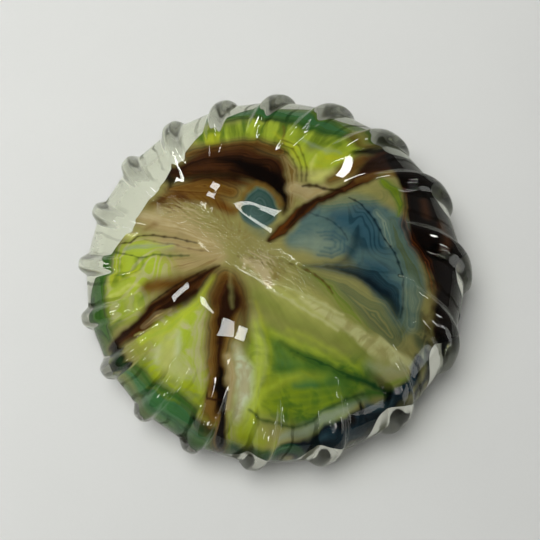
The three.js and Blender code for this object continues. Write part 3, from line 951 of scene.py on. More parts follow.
def paint_hinge_side(fan):
    """The green and yellow behind the pole, the brown arch and the eye under it."""
    fan.stroke(
        "leaf", 2.0, [(-8, 30.5, 2.6), (4, 31.6, 3.6), (14, 31, 5), (25, 28, 4)], rays="lime", strength=0.9
    )
    fan.stroke("lime", 1.6, [(12, 27, 2.2), (15.6, 22.4, 2.4), (20, 23, 3), (25, 23.8, 2)], swirls="yellow")
    fan.stroke("yellow", 1.3, [(20.6, 23.8, 1.3), (25.2, 24.4, 0.9)], edges="lime")
    fan.stroke("yellow", 0.8, [(-6.6, 30.8, 0.4), (-6.5, 28.2, 0.5), (-5.4, 27.6, 0.3)], cover=0.9)
    fan.stroke("yellow", 0.9, [(8.6, 30.4, 0.3), (10.6, 27.6, 0.4), (14.6, 25.6, 0.5)], cover=0.7)
    fan.stroke("pale_yellow", 1.2, [(17, 17.4, 0.7), (18.8, 18.6, 1.3), (21.6, 19.8, 0.7)])
    fan.stroke("pale_yellow", 0.6, [(16.6, 18.6, 0.2), (16.8, 21.6, 0.3), (18.2, 24.2, 0.2)], cover=0.7)
    back_rim = [
        (4, 36.5, 0.6), (10, 35.4, 1.4), (16, 33.8, 2.4),
        (21, 32.4, 2.4), (25.6, 30.6, 1.2), (28, 29.5, 0.5),
    ]
    fan.stroke("green", 1.4, back_rim, edges="dark_green")
    fan.stroke("leaf", 1.6, [(-4, 36.6, 0.8), (5, 38, 1.4), (13, 37.4, 1.6), (20, 35, 1.2)], cover=0.5)
    fan.stroke(
        "teal", 1.0, [(-5, 36, 0.7), (6, 37.6, 1.2), (15, 35.8, 1.7), (21, 33.6, 1.4), (25.6, 31.6, 0.6)],
        edges="green",
    )
    fan.stroke(
        "dark_green", 0.7, [(-3.4, 34.6, 0.3), (1, 35.4, 0.4), (6, 35.6, 0.4), (12, 34, 0.4)], cover=0.8
    )
    for x, y in ((-8.6, 31), (-3.6, 32), (1.4, 32.4), (5.2, 32), (11.4, 31.6)):
        fan.line("green", 0.2, (x, y + 2.6), (x - 0.3, y), (x - 0.1, y - 1.6), soft=0.6, cover=0.7)
    fan.stroke("amber", 0.5, [(10.6, 32.6, 0.2), (11, 29.4, 0.3), (10.6, 27.4, 0.2)], cover=0.7)
    fan.stroke(
        "mist", 0.7, [(14, 29.2, 0.2), (17, 26.8, 0.4), (20.6, 25.3, 0.3), (23.4, 25.6, 0.1)], cover=0.55
    )
    fan.stroke("mist", 0.8, [(17.4, 34, 0.5)], cover=0.8)
    fan.stroke("amber", 1.6, [(26.5, 30.2, 1.0), (30.4, 29.6, 1.2)], cover=0.7)
    fan.stroke(
        "amber", 1.8, [(-12, 25.6, 1.4), (-4, 26.4, 1.6), (4, 26.6, 1.8), (9.4, 25, 1.8)],
        edges="dark_brown", strength=0.9,
    )
    fan.stroke("brown", 1.8, [(-10, 17.6, 1.5), (-1, 17, 1.8), (2.4, 15.6, 1.0)], edges="dark_brown")
    fan.stroke(
        "amber", 1.6, [(-19, 13, 1.0), (-13, 13.4, 2.4), (-6, 12, 2.4), (-2, 9, 1.4)],
        rays="brown", strength=1.0,
    )
    fan.stroke(
        "amber", 1.6, [(-15.5, 15.6, 1.4), (-8, 15.8, 2.4), (-1.6, 14, 2.0)], edges="brown", strength=0.9
    )
    fan.stroke("orange", 2.0, [(-1, 9.4, 0.8), (-3.6, 10, 1.0)], cover=0.35)
    fan.stroke(
        "brown", 2.0, [(-14, 20.6, 2.6), (-7, 22.4, 4.2), (1, 22, 4.8), (7, 20, 4.2)],
        edges="dark_brown", strength=0.9,
    )
    arch = [
        (-15, 21.4, 1.8), (-8, 21.8, 2.4), (0, 21.2, 3.0), (6, 19.8, 3.6),
        (9.5, 16, 2.2), (10.7, 11.5, 0.9), (10.4, 8.6, 0.3),
    ]
    fan.stroke("dark_brown", 1.2, arch, edges="brown")
    fan.stroke("black_brown", 1.6, [(-14, 18.8, 0.8), (-7, 18.8, 1.2), (0, 18, 1.4)], cover=0.7)
    fan.stroke("brown", 1.2, [(-12, 21.2, 0.5), (-7, 21, 0.7), (-3, 19.8, 0.5)], cover=0.6)
    fan.stroke(
        "black_brown", 1.1,
        [(-5, 23, 0.3), (0, 21.6, 1.2), (4, 19.4, 2.3), (8, 16.8, 2.4), (10, 13.2, 1.2), (10.6, 9.6, 0.4)],
    )
    fan.stroke("black_brown", 0.7, [(-16.4, 20.4, 0.5), (-15.4, 18.4, 0.8), (-15.8, 16.4, 0.3)], cover=0.9)
    for out, top in ((0.0, 26.6), (1.3, 27.4), (2.6, 28.2)):
        curl = ((7 + out, top), (11 + out, 24.6 + out), (13 + out, 20.4), (13.4 + out * 0.8, 16.6))
        fan.line("dark_brown", 0.16, *curl, soft=0.3, cover=0.6)
    fan.stroke(
        "amber", 1.2, [(10, 23.4, 0.4), (12.2, 19.4, 0.8), (12.2, 14.4, 0.9), (11.8, 10.4, 0.4)],
        cover=0.8, edges="tan",
    )
    fan.stroke("khaki", 2.0, [(3.5, 7.5, 3.0), (4.4, 3.6, 2.6)], cover=0.9)
    fan.stroke("leaf", 0.8, [(4.2, 14, 1.3), (2.4, 11, 2.2), (6, 10.6, 2.4)], cover=0.6)
    eye = [(4.2, 14.8, 0.3), (4.4, 12.6, 1.9), (4.5, 10.4, 3.8), (4.6, 9.2, 4.6)]
    rim = [(-0.4, 9.4), (1.2, 13), (4.1, 15.8), (7, 14), (9.4, 10.6)]
    fan.line("amber", 0.6, *rim, soft=0.8, cover=0.85)
    fan.stroke("sea", 0.6, eye, edges="grey_blue", strength=0.5)
    fan.stroke("grey_blue", 2.4, [(3, 7.6, 1.4), (4.4, 5.4, 1.8), (5.4, 3.6, 1.0)], cover=0.6)


def paint_left(fan):
    """The green swirls on the left and the brown trail under them."""
    fan.stroke(
        "lime", 2.6, [(-17, -4, 2), (-24, -2, 6), (-25, -10, 5)],
        cover=0.95, contours="cream", strength=0.85,
    )
    fan.stroke("pale_yellow", 1.2, [(-25, 7, 0.9), (-23.6, 5.6, 1.0)])
    fan.stroke("amber", 1.0, [(-20.6, 6.4, 0.3), (-18.4, 7.4, 0.6)], cover=0.6)
    fan.stroke(
        "mist", 1.0, [(-25, 2, 0.5), (-20, 1.4, 0.8), (-15, 0.6, 0.5)], cover=0.8, rays="lime", strength=0.9
    )
    fan.stroke(
        "yellow", 1.2, [(-27, -3, 1.3), (-27, -6, 1.2), (-22.6, -4.4, 0.8)], swirls="leaf", strength=0.9
    )
    x, y, widened = -24.4, -2.4, 1.2
    turns = (-2.6, -1.8, -1.0, -0.2, 0.6)
    for radius in (1.4, 2.7):
        curl = [(x + widened * radius * math.cos(a), y + radius * math.sin(a)) for a in turns]
        fan.line("green", 0.12, *curl, soft=0.5, cover=0.5)
    for shift in (0.0, 2.2, 4.4):
        wave = ((-29.6, -9.4 - shift * 0.8), (-26.6, -9 - shift), (-24, -7.6 - shift), (-21.4, -8 - shift))
        fan.line("pale_yellow", 0.2, *wave, soft=0.5, cover=0.7)
    fan.stroke(
        "green", 1.6, [(-21, -10.6, 0.7), (-25.4, -13, 1.2), (-28, -16.4, 0.9)], cover=0.65, swirls="lime"
    )
    rim = [(-27.5, 3.6, 0.5), (-29.8, -1.4, 1.3), (-31, -7, 1.6), (-30.2, -14, 1.6), (-28.4, -18.6, 0.8)]
    fan.stroke("green", 1.1, rim, edges="dark_green", strength=0.9)
    fan.stroke("amber", 1.4, [(-6, -5.6, 0.6), (-12, -7.6, 1.3), (-19.6, -8.4, 1.5)], rays="brown")
    fan.line(
        "dark_brown", 0.16, (-27, 4.5), (-24, 3.5), (-22.4, 4.8), (-19, 4.3), (-14, 2.6), (-9, 1.6),
        cover=0.85,
    )
    fan.line(
        "dark_green", 0.16, (-28, 2.4), (-25.6, 0.6), (-22.4, -1.4), (-19, -1), (-15, -1.5), (-11, -1.4),
        cover=0.7,
    )
    fan.line("brown", 0.1, (-21, 3.4), (-16, 1.4), (-11, 0.2), (-6, -0.6), cover=0.5)
    trail = [
        (-5, -4.8, 0.6), (-9, -7.8, 2.0), (-12.6, -11, 3.2),
        (-17.6, -14.4, 3.0), (-22.6, -17.6, 1.8), (-27, -20, 1.0),
    ]
    fan.stroke("brown", 1.3, trail, edges="dark_brown", strength=1.0)
    fan.stroke(
        "tan", 0.7, [(-14.6, -14, 0.4), (-17.6, -15.2, 0.7), (-20.6, -16.8, 0.4)], cover=0.85, edges="brown"
    )
    fan.stroke("dark_brown", 0.6, [(-9, -9.6, 0.5), (-12, -11.6, 1.2), (-16, -13.2, 0.8)])
    fan.line("pale_yellow", 0.12, (-16, -17.2), (-19.6, -18), (-22.6, -18.6), soft=0.4, cover=0.6)
    line = [
        (-4, -4.2, 0.2), (-8, -6.6, 0.4), (-14, -10, 0.5),
        (-19, -13.4, 0.5), (-25, -18, 0.6), (-28, -20.2, 0.5),
    ]
    fan.stroke("dark_brown", 0.45, line)
    fan.line("dark_brown", 0.14, (-7, -5), (-11, -6.9), (-15.4, -9.6), (-19, -12), soft=0.3)


def paint_lower_left(fan):
    """The pale lime patches between the two brown trails."""
    fan.stroke(
        "lime", 2.2, [(-8, -14, 2.0), (-13, -20, 5), (-14, -25, 6), (-9, -29, 4)],
        swirls="cream", strength=1.0,
    )
    fan.stroke(
        "cream", 1.2, [(-7, -12, 0.6), (-8, -18, 1.2), (-8.4, -25, 1.3), (-7.6, -31, 0.8)],
        cover=0.85, edges="lime",
    )
    fan.stroke(
        "lime", 0.9, [(-5, -7, 0.4), (-9, -13, 0.9), (-14.6, -17.6, 0.9), (-21, -20.6, 0.8)],
        cover=0.9, edges="yellow",
    )
    fan.stroke(
        "cream", 1.8, [(-13, -22, 1.2), (-14.6, -25, 1.8), (-11.6, -27.6, 1.2)], cover=0.6, swirls="white"
    )
    fan.stroke(
        "white", 1.0, [(-12.6, -19, 0.3), (-12.8, -23, 0.6), (-13.6, -27.6, 0.4)], cover=0.75, swirls="lime"
    )
    fan.stroke("white", 0.8, [(-16.6, -21.4, 0.4), (-17.6, -24.4, 0.4)], cover=0.5)
    fan.stroke("grey_green", 1.4, [(-15.6, -20, 0.5), (-15, -24, 0.4)], cover=0.5)
    band = [
        (-22, -22.6, 0.7), (-20.6, -25, 1.1), (-17, -27.8, 1.3),
        (-12, -29.8, 1.2), (-8, -32.6, 1.5), (-6.2, -36.4, 0.8),
    ]
    fan.stroke("bright_lime", 1.8, band, cover=0.85, swirls="leaf", strength=0.9)
    fan.stroke(
        "green", 1.2, [(-23, -24.6, 0.8), (-19, -29, 1.0), (-13.6, -32, 1.4), (-9, -34.8, 0.8)],
        edges="dark_green",
    )
    fan.stroke(
        "teal", 1.0, [(-25.6, -24, 0.8), (-21, -29.6, 1.2), (-15, -34, 2.2), (-9.6, -37, 1.4)],
        edges="green",
    )
    fan.line("leaf", 0.14, (-19.6, -29.6), (-15.6, -31.2), (-12.6, -33.4), soft=0.5, cover=0.7)
    fan.stroke(
        "dark_green", 0.8, [(-9.2, -36, 0.6), (-7.4, -38, 1.0), (-6, -39.4, 0.8)],
        edges="black_brown", strength=0.9,
    )
    fan.stroke("teal", 0.8, [(-20, -31.6, 0.6), (-12, -38, 0.7), (-2, -41.6, 0.7)], edges="dark_green")
    fan.stroke("black_brown", 0.6, [(-27, -20.2, 0.8), (-26, -22.2, 1.7)])
    fan.stroke("dark_green", 0.8, [(-27.2, -22, 0.3), (-25.4, -23, 0.4)], cover=0.8)


def paint_field(fan):
    """The green field, its arcs and the dark leaf at its tip."""
    fan.stroke(
        "leaf", 2.6, [(6, -22, 4), (12, -30, 8.6), (17, -31, 8), (26, -28, 4)], swirls="green", strength=0.8
    )
    fan.stroke("lime", 2.4, [(4.6, -18, 0.8), (4.6, -26, 2.0), (3, -34, 2.8), (3, -39, 2.6)], swirls="leaf")
    for shift, shade in ((0.0, "cream"), (0.9, "pale_yellow"), (1.8, "cream"), (2.8, "yellow")):
        arc = [
            (2.4 + shift * 0.6, -13), (3.8 + shift, -20), (4.2 + shift, -26),
            (2.8 + shift, -33), (0.2 + shift * 0.7, -39.6),
        ]
        fan.line(shade, 0.2, *arc, soft=0.8, cover=0.4)
    fan.stroke(
        "teal", 2.2, [(8.6, -22, 0.8), (9.8, -26, 2.2), (15, -28, 1.6), (22, -30, 1.4)],
        cover=0.7, swirls="leaf",
    )
    fan.stroke(
        "green", 1.2, [(8.4, -27, 0.4), (12, -27.2, 0.5), (17, -26.6, 0.5), (24, -28.6, 0.6)], cover=0.8
    )
    arc = [(9.4, -21, 0.3), (13, -23.4, 0.7), (18, -25.8, 0.9), (23, -27.6, 0.8), (30, -29.2, 0.7)]
    fan.stroke("dark_green", 1.0, arc, cover=0.9, edges="green")
    fan.line("lime", 0.4, (7.6, -19.2), (12, -21), (17, -23.2), (21.6, -25.8), soft=1.3, cover=0.7)
    fan.line("lime", 0.3, (11, -18.6), (16, -20.6), (21, -23), (26, -26), soft=1.2, cover=0.6)
    fan.stroke("amber", 1.2, [(8, -31, 0.3), (12, -28.8, 0.5), (17, -28, 0.4)], cover=0.3)
    fan.stroke("green", 2.4, [(15, -33, 1.4), (19, -32.4, 2.2), (25, -31, 1.2)], cover=0.5)
    fan.stroke(
        "lime", 1.6, [(4.6, -33.6, 0.6), (8.6, -29.8, 0.9), (14, -28.1, 0.8), (19, -28.5, 0.5)],
        cover=0.7, swirls="yellow",
    )
    fan.stroke("teal", 0.9, [(12.4, -30.4, 0.4), (17.6, -30.2, 0.6)], cover=0.8)
    for shift in (0.0, 1.6, 3.2):
        arc = [(6, -34.6 - shift * 0.5), (10, -32 - shift), (16, -31.4 - shift), (22, -31 - shift * 0.8)]
        fan.line("bright_lime", 0.2, *arc, soft=0.9, cover=0.35)
    fan.stroke("bright_lime", 1.4, [(1.4, -36.6, 0.8), (1, -40, 1.0), (6, -41.2, 0.7)], cover=0.85)
    fan.stroke("dark_green", 1.6, [(28.6, -26.6, 0.9), (32.4, -28.8, 1.3)], cover=0.5)
    fan.stroke("green", 2.0, [(15, -27, 1.2), (20, -29, 1.8), (25, -29.6, 1.4)], cover=0.45)
    fan.stroke(
        "mist", 1.0, [(9, -41, 0.5), (15, -38.8, 0.9), (20, -36.6, 1.0), (24.5, -34, 0.8), (28, -32, 0.4)],
        cover=0.85,
    )
    fan.stroke("green", 1.2, [(23, -33.6, 0.8), (28.6, -31.6, 0.7)], cover=0.8)
    fan.line(
        "dark_green", 0.22, (3, -35.6), (7, -37.8), (12, -38.6), (18, -36.2), (24, -32.6), (30, -30.6),
        soft=0.45, cover=0.8,
    )
    fan.stroke("green", 1.0, [(28.4, -30.6, 0.6), (35.4, -30.4, 1.0)])
    fan.stroke("dark_green", 0.6, [(24, -28.2, 0.3), (30, -29.4, 0.5), (35, -30.8, 0.5)])
    fan.stroke("dark_green", 0.5, [(33.4, -31.6, 0.3), (36.4, -30, 0.6), (37.4, -28.2, 0.3)])
    fan.stroke("leaf", 0.6, [(33.6, -29, 0.3), (36.4, -28.4, 0.4)], cover=0.8)


def paint_front_trail(fan):
    """The brown trail to the front with the white glass beside it."""
    fan.stroke(
        "white", 1.2, [(-0.2, -22, 0.5), (1.4, -27, 1.6), (1.5, -32, 1.6), (0.4, -37, 0.9)], swirls="tan"
    )
    fan.stroke("lime", 1.0, [(-1.4, -36.6, 0.6), (-1.6, -40.6, 0.9)], cover=0.9, edges="cream")
    trail = [
        (-2.4, -7.5, 2.6), (-2.4, -12.5, 4.2), (-3.4, -17, 3.3),
        (-4, -22, 2.4), (-4.3, -30, 1.9), (-4.2, -41, 2.0),
    ]
    fan.stroke("amber", 1.9, trail, edges="brown", strength=1.0)
    fan.stroke(
        "brown", 2.2, [(-5.6, -13, 1.2), (-2, -11, 3.4), (1.8, -14, 1.4), (1.6, -20, 0.5)],
        cover=0.9, edges="dark_brown",
    )
    fan.stroke(
        "tan", 0.8, [(-1.7, -24.4, 0.6), (-1.4, -29, 0.9), (-1.8, -35, 0.6)], cover=0.9, edges="pale_tan"
    )
    fan.stroke("orange", 0.7, [(-5.6, -25, 0.3), (-5.6, -33, 0.4), (-5.4, -38, 0.3)], cover=0.45)
    core = [(-2, -9.4, 0.8), (-1.6, -12.6, 2.3), (-3.2, -16.6, 1.4), (-3.6, -21, 0.7), (-3.6, -28, 0.6)]
    fan.stroke("dark_brown", 0.8, core)
    fan.stroke(
        "black_brown", 0.5, [(-3.5, -27, 0.3), (-3.5, -31, 0.8), (-3.5, -35.6, 1.0), (-3.9, -41, 1.2)]
    )
    fan.line("dark_brown", 0.12, (-6, -31.6), (-5.4, -33.2), (-3.8, -33.4), soft=0.25)
    fan.line("khaki", 0.3, (-1.4, -4), (-1.6, -9), (-1.2, -13.6), soft=0.7, cover=0.45)


def paint_ridge(fan):
    """The cream ridge to the lip, partly a painted reflection of the lamps that the crease mirrors, the grey
    green over it and the deep blue lip, whose edge is painted near black, partly as painted shade.
    """
    haze = [(15, -6.6, 0.8), (23, -9.6, 2.4), (30, -14.6, 3.6), (34, -19, 3.0)]
    fan.stroke("grey_green", 2.4, haze, cover=0.85, edges="khaki", strength=0.5)
    fan.stroke(
        "leaf", 1.2,
        [(10, -3.4, 0.3), (15, -5.8, 0.8), (20, -9.6, 1.4), (24, -13.6, 1.3), (28, -17.6, 0.5)],
        cover=0.65, edges="khaki",
    )
    fan.line(
        "brown", 0.16, (0.4, -1.6), (6, -2.6), (11, -4), (15, -5.4), (18.4, -7.8), (20.6, -10.6), cover=0.75
    )
    fan.stroke(
        "grey_green", 1.4, [(38.4, -9, 1.0), (40, -13.6, 2.2), (41.2, -18.6, 2.0)],
        cover=0.9, swirls="khaki",
    )
    fan.stroke(
        "grey_blue", 1.6, [(38.4, -6, 1.2), (39, -11, 1.8), (38.4, -15.5, 1.4)], cover=0.7, edges="mist"
    )
    fan.stroke(
        "brown", 2.0, [(44, -8, 1.4), (43.6, -13, 2.0), (42.6, -17.5, 1.6)], cover=0.6, swirls="khaki"
    )
    # Partly painted shade: near black on the brown rim beside the lip, where it curves down
    fan.stroke("black_brown", 1.0, [(48.5, -5, 1.6), (47, -9, 2.0), (46, -12.6, 2.0), (46, -15, 1.4)])
    # Painted reflection, in part: the pale cream lines and band along the crease stand where it mirrors the
    # lamps over the weight
    fan.line("cream", 0.26, (8.6, -7.4), (14, -10.2), (19, -13), (23, -15), soft=0.4)
    fan.line("cream", 0.24, (6.6, -9.4), (12, -12.4), (17, -15.2), (22, -18.4), soft=0.4)
    ridge = [
        (14, -11.4, 0.5), (20, -15.2, 1.0), (26, -18.8, 1.3),
        (30, -21.6, 1.6), (34, -23.6, 1.6), (39, -24.8, 1.0),
    ]
    fan.stroke("cream", 0.8, ridge, swirls="khaki", strength=0.8)
    fan.stroke("mist", 2.2, [(29, -25.6, 0.7), (35.6, -26.6, 0.7)], cover=0.55, swirls="leaf")
    fan.stroke(
        "grey_blue", 0.9, [(38.6, -25.4, 0.7), (41, -22.6, 0.9), (42, -20, 0.5)], cover=0.9, swirls="white"
    )
    lip = [
        (9, -43.4, 0.8), (15, -42, 1.5), (21, -40.2, 2.4), (26, -37.8, 2.4),
        (30, -34.8, 1.7), (35, -31.6, 1.2), (38.6, -28, 1.1), (40, -23, 0.9),
    ]
    fan.stroke("deep_blue", 0.6, lip, edges="blue_black", strength=0.9)
    # Partly painted shade: the lip's edge is painted blue black where it curves down
    edge = (
        (14, -44.6), (20, -43.2), (26, -40.8), (30.4, -37),
        (35, -33.8), (39, -30.8), (41.6, -26), (42.2, -20.5),
    )
    fan.line("blue_black", 0.5, *edge, soft=0.5)
    fan.stroke(
        "blue_black", 1.2,
        [(20, -46, 1.4), (27, -43.4, 1.8), (33, -39.4, 2.0), (39.6, -35, 2.0), (44.6, -28, 1.8)],
        cover=0.9,
    )
    fan.stroke("blue", 0.9, [(28.6, -33.4, 0.5), (32.6, -32.8, 0.8), (35, -31.8, 0.4)], cover=0.8)
    fan.stroke("blue", 0.8, [(17, -40.6, 0.4), (20.6, -39.8, 0.4)], cover=0.7)
    fan.stroke("black_brown", 0.8, [(22.4, -38.2, 0.7), (24.8, -36.8, 0.9)])
    fan.line("blue_black", 0.2, (27, -33.4), (27.6, -35.2), (28.6, -36.6), soft=0.3)
    fan.stroke("pale_yellow", 1.8, [(-15.4, -20.6, 1.6), (-14.4, -26, 2.2)], cover=0.6, swirls="lime")
    fan.stroke("pale_yellow", 1.6, [(-25.6, -7.6, 1.0), (-23.6, -12.4, 1.4)], cover=0.4, swirls="lime")
    fan.stroke("teal", 0.6, [(-1, -42, 0.5), (8, -43.2, 0.6), (15, -42.4, 0.5)], edges="dark_green")


DRAWING = (
    paint_ground,
    paint_pool,
    paint_hinge_side,
    paint_arm,
    paint_left,
    paint_field,
    paint_lower_left,
    paint_front_trail,
    paint_ridge,
)


# The pieces


class SHELL_OT_casing(bpy.types.Operator):
    """Make the clear casing with its ribs"""

    bl_idname = "shell.casing"
    bl_label = "Clear casing"

    def execute(self, context):
        scene = context.scene
        values = {**common_values(scene.shell_sizes), **casing_values(scene.shell_sizes)}
        glass = clear_glass(scene.shell_colours, scene.shell_sizes)
        form = pebble_tree("casing_form", CASING_COLUMNS)
        build("ribbed_casing_glass", form, values, glass, ["ribbed_casing"])
        return {"FINISHED"}


class SHELL_OT_core(bpy.types.Operator):
    """Make the cloudy core"""

    bl_idname = "shell.core"
    bl_label = "Cloudy core"

    def execute(self, context):
        scene = context.scene
        sizes = scene.shell_sizes
        depth = sizes.seam + sizes.skin_thickness + sizes.seam
        values = {**common_values(sizes), **form_values(sizes, depth, sizes.neck_radius)}
        glass = opal_glass(scene.shell_colours, sizes)
        form = pebble_tree("core_form", CORE_COLUMNS)
        build("opal_core_glass", form, values, glass, ["opal_core"])
        return {"FINISHED"}


# Turns of the seams between the colours at the crown cap, half way out and at the belt, in degrees
SEAMS = {
    "lip": (-95, -87, -80),
    "blue_to_arm": (-58, -42, -30),
    "arm_to_yellow": (-38, -30, -17),
    "yellow_to_arch": (0, 4, 8),
    "arch_to_hinge": (52, 84, 76),
    "hinge_to_swirl": (122, 122, 119),
    "swirl_to_streak": (148, 153, 157),
    "streak_to_lime": (168, 167, 163),
    "lime_to_front": (184, 191, 201),
    "front_to_green": (218, 213, 209),
    "green_to_cream": (256, 261, 265),
}
# How far the belt's glass swells out under the clear glass, in millimetres
SWELLS = {"brown_rim": 2.3, "green_rim_back": 0.8, "green_rim_left": 1.0, "teal_rim_front": 1.4}


def skin_patches(sizes):
    """Each patch of the skin: its node, its slot, its two seams and its two sweeps."""
    fan = (sizes.crown_cap_sweep, sizes.belt_sweep)
    eye = (sizes.crown_cap_sweep, sizes.eye_sweep)
    arch = (sizes.eye_sweep, sizes.belt_sweep)
    belt = (sizes.belt_sweep, sizes.skin_end_sweep)
    whole = (sizes.crown_cap_sweep, sizes.skin_end_sweep)
    return (
        ("blue_pool", "blue_glass", ("lip", "blue_to_arm"), fan),
        ("brown_arm", "brown_glass", ("blue_to_arm", "arm_to_yellow"), fan),
        ("yellow_patch", "yellow_glass", ("arm_to_yellow", "yellow_to_arch"), fan),
        ("blue_eye", "blue_glass", ("yellow_to_arch", "arch_to_hinge"), eye),
        ("brown_arch", "dark_brown_glass", ("yellow_to_arch", "arch_to_hinge"), arch),
        ("amber_hinge", "amber_glass", ("arch_to_hinge", "hinge_to_swirl"), whole),
        ("green_swirl", "lime_glass", ("hinge_to_swirl", "swirl_to_streak"), fan),
        ("brown_streak_left", "brown_glass", ("swirl_to_streak", "streak_to_lime"), fan),
        ("lime_patch", "lime_glass", ("streak_to_lime", "lime_to_front"), fan),
        ("brown_streak_front", "brown_glass", ("lime_to_front", "front_to_green"), fan),
        ("green_field", "green_glass", ("front_to_green", "green_to_cream"), fan),
        ("cream_ridge", "cream_glass", ("green_to_cream", "lip"), fan),
        ("brown_rim", "dark_brown_glass", ("lip", "arm_to_yellow"), belt),
        ("green_rim_back", "dark_green_glass", ("arm_to_yellow", "arch_to_hinge"), belt),
        ("green_rim_left", "dark_green_glass", ("hinge_to_swirl", "streak_to_lime"), belt),
        ("teal_rim_front", "teal_glass", ("streak_to_lime", "front_to_green"), belt),
        ("blue_lip", "dark_blue_glass", ("front_to_green", "lip"), belt),
    )


def build_skin(scene, name, form, values):
    """Builds one piece of the skin and lays the drawing on it."""
    material, tree = new_material(name + "_glass")
    piece = build(name + "_glass", form, values, material, [name])
    fan = FanPaint(tree, piece, scene.shell_sizes, scene.shell_colours)
    for paint in DRAWING:
        paint(fan)
    fan.finish()


class SHELL_OT_skins(bpy.types.Operator):
    """Make the coloured skin: the cap, the fan and the rim belt"""

    bl_idname = "shell.skins"
    bl_label = "Coloured skin"

    def execute(self, context):
        sizes = context.scene.shell_sizes
        values = {**common_values(sizes), **form_values(sizes, sizes.seam, sizes.neck_radius)}
        values.update(
            {
                "Cap sweep": sizes.crown_cap_sweep,
                "Belt sweep": sizes.belt_sweep,
                "Thickness": sizes.skin_thickness,
                "To sweep": sizes.crown_cap_sweep,
                "Columns": CAP_COLUMNS,
                "Rows": CAP_ROWS,
            }
        )
        build_skin(context.scene, "amber_crown", cap_tree("cap_form"), values)
        patch_form = skin_tree("patch_form")
        for name, slot, seams, sweeps in skin_patches(sizes):
            first, last = (Vector([math.radians(turn) for turn in SEAMS[seam]]) for seam in seams)
            if last.x < first.x:
                last += Vector((2 * math.pi,) * 3)
            widest = max(b - a for a, b in zip(first, last))
            patch = {
                "Swell": SWELLS.get(name, 0.0) * MM,
                "From seam": first,
                "To seam": last,
                "From sweep": sweeps[0],
                "To sweep": sweeps[1],
                "Columns": math.ceil(widest / SKIN_STEP) + 1,
                "Rows": math.ceil((sweeps[1] - sweeps[0]) / SKIN_STEP) + 1,
            }
            build_skin(context.scene, name, patch_form, {**values, **patch})
        return {"FINISHED"}


# The table, the lamps and the camera


def table_paint(stage):
    """Pale paint with painted light: a little lighter to the side of the soft lamp. Seen through the glass
    it glows with a painted pool of light under the lip, in place of the light that the clear rim would
    gather there."""
    toward_lamp = (0.18, 0.98, 0.0)
    toward_lip = (-0.1, -0.995, 0.0)
    behind_share = 0.13
    material, tree = new_material("table_paint")
    point = place_in_millimetres(tree)
    # Painted light: the paint is lighter towards the soft lamp
    light_side = rise(point.dot(toward_lamp), -110.0, 110.0)
    uneven = noise(point, 0.02) - 0.5
    speck = noise(point, 1.5) - 0.5
    near_side, far_side = 0.89, 1.05
    value = blend(near_side, far_side, light_side) + uneven * 0.06 + speck * 0.02
    shade = node(tree, "ShaderNodeHueSaturation", None, {"Value": value, "Color": (*stage.table, 1)})
    radius = point.length()
    under_lip = rise(point.dot(toward_lip), 4.0, 24.0) * (1 - behind_share) + behind_share
    ring = rise(radius, 28.0, 34.0) * (1.0 - rise(radius, 39.0, 43.0))
    # Painted pool of light: the table glows, seen only through the glass, where the clear rim would gather
    # light, most of all under the lip
    through_glass = node(tree, "ShaderNodeLightPath", None, None, "Is Transmission Ray")
    painted_light_pool = under_lip * ring * through_glass * stage.painted_light_pool
    light = mix_colours((0.0, 0.0, 0.0, 1), (1.0, 1.0, 0.95, 1), painted_light_pool)
    inputs = {
        "Base Color": shade,
        "Roughness": speck * 0.1 + 0.6,
        "Specular IOR Level": 0.1,
        "Emission Color": light,
        "Emission Strength": 1.0,
    }
    finish_material(tree, node(tree, "ShaderNodeBsdfPrincipled", None, inputs))
    return material


def set_table(stage):
    """A plain table top, a hair under the ground face."""
    size = 2.0
    level = -0.05 * MM
    mesh = bpy.data.meshes.new("table_top")
    corners = [(-size, -size, level), (size, -size, level), (size, size, level), (-size, size, level)]
    mesh.from_pydata(corners, [], [(0, 1, 2, 3)])
    table = bpy.data.objects.new("table_top", mesh)
    bpy.context.scene.collection.objects.link(table)
    mesh.materials.append(table_paint(stage))


def set_world(scene):
    """Pale walls and a dim ceiling."""
    ceiling_light, wall_light = 0.04, 0.14
    world = bpy.data.worlds.new("studio")
    world.use_nodes = True
    tree = world.node_tree
    height = split(tree, node(tree, "ShaderNodeTexCoord", None, None, "Generated"))[2]
    walls = 1.0 - rise(height, 0.2, 0.75)
    background = tree.nodes["Background"]
    tree.links.new(blend(ceiling_light, wall_light, walls).socket, background.inputs["Strength"])
    background.inputs["Color"].default_value = (1, 1, 1, 1)
    scene.world = world


def add_lamp(scene, name, place, width, depth, turn, power):
    """A rectangular lamp that shines straight down, turned about its middle."""
    light = bpy.data.lights.new(name, "AREA")
    light.shape = "RECTANGLE"
    light.size = width
    light.size_y = depth
    light.energy = power
    lamp = bpy.data.objects.new(name, light)
    lamp.location = place
    lamp.rotation_euler = (0, 0, turn)
    scene.collection.objects.link(lamp)
    return lamp


def set_key(scene, stage):
    """A large soft lamp that lights the colours but isn't mirrored."""
    aside = -0.13
    toward = Vector((aside, math.cos(stage.key_elevation), math.sin(stage.key_elevation)))
    place = toward * stage.key_distance
    lamp = add_lamp(scene, "soft_lamp", place, stage.key_size, stage.key_size, 0, stage.key)
    lamp.rotation_euler = toward.to_track_quat("Z", "Y").to_euler()
    lamp.visible_glossy = False
    lamp.visible_transmission = False


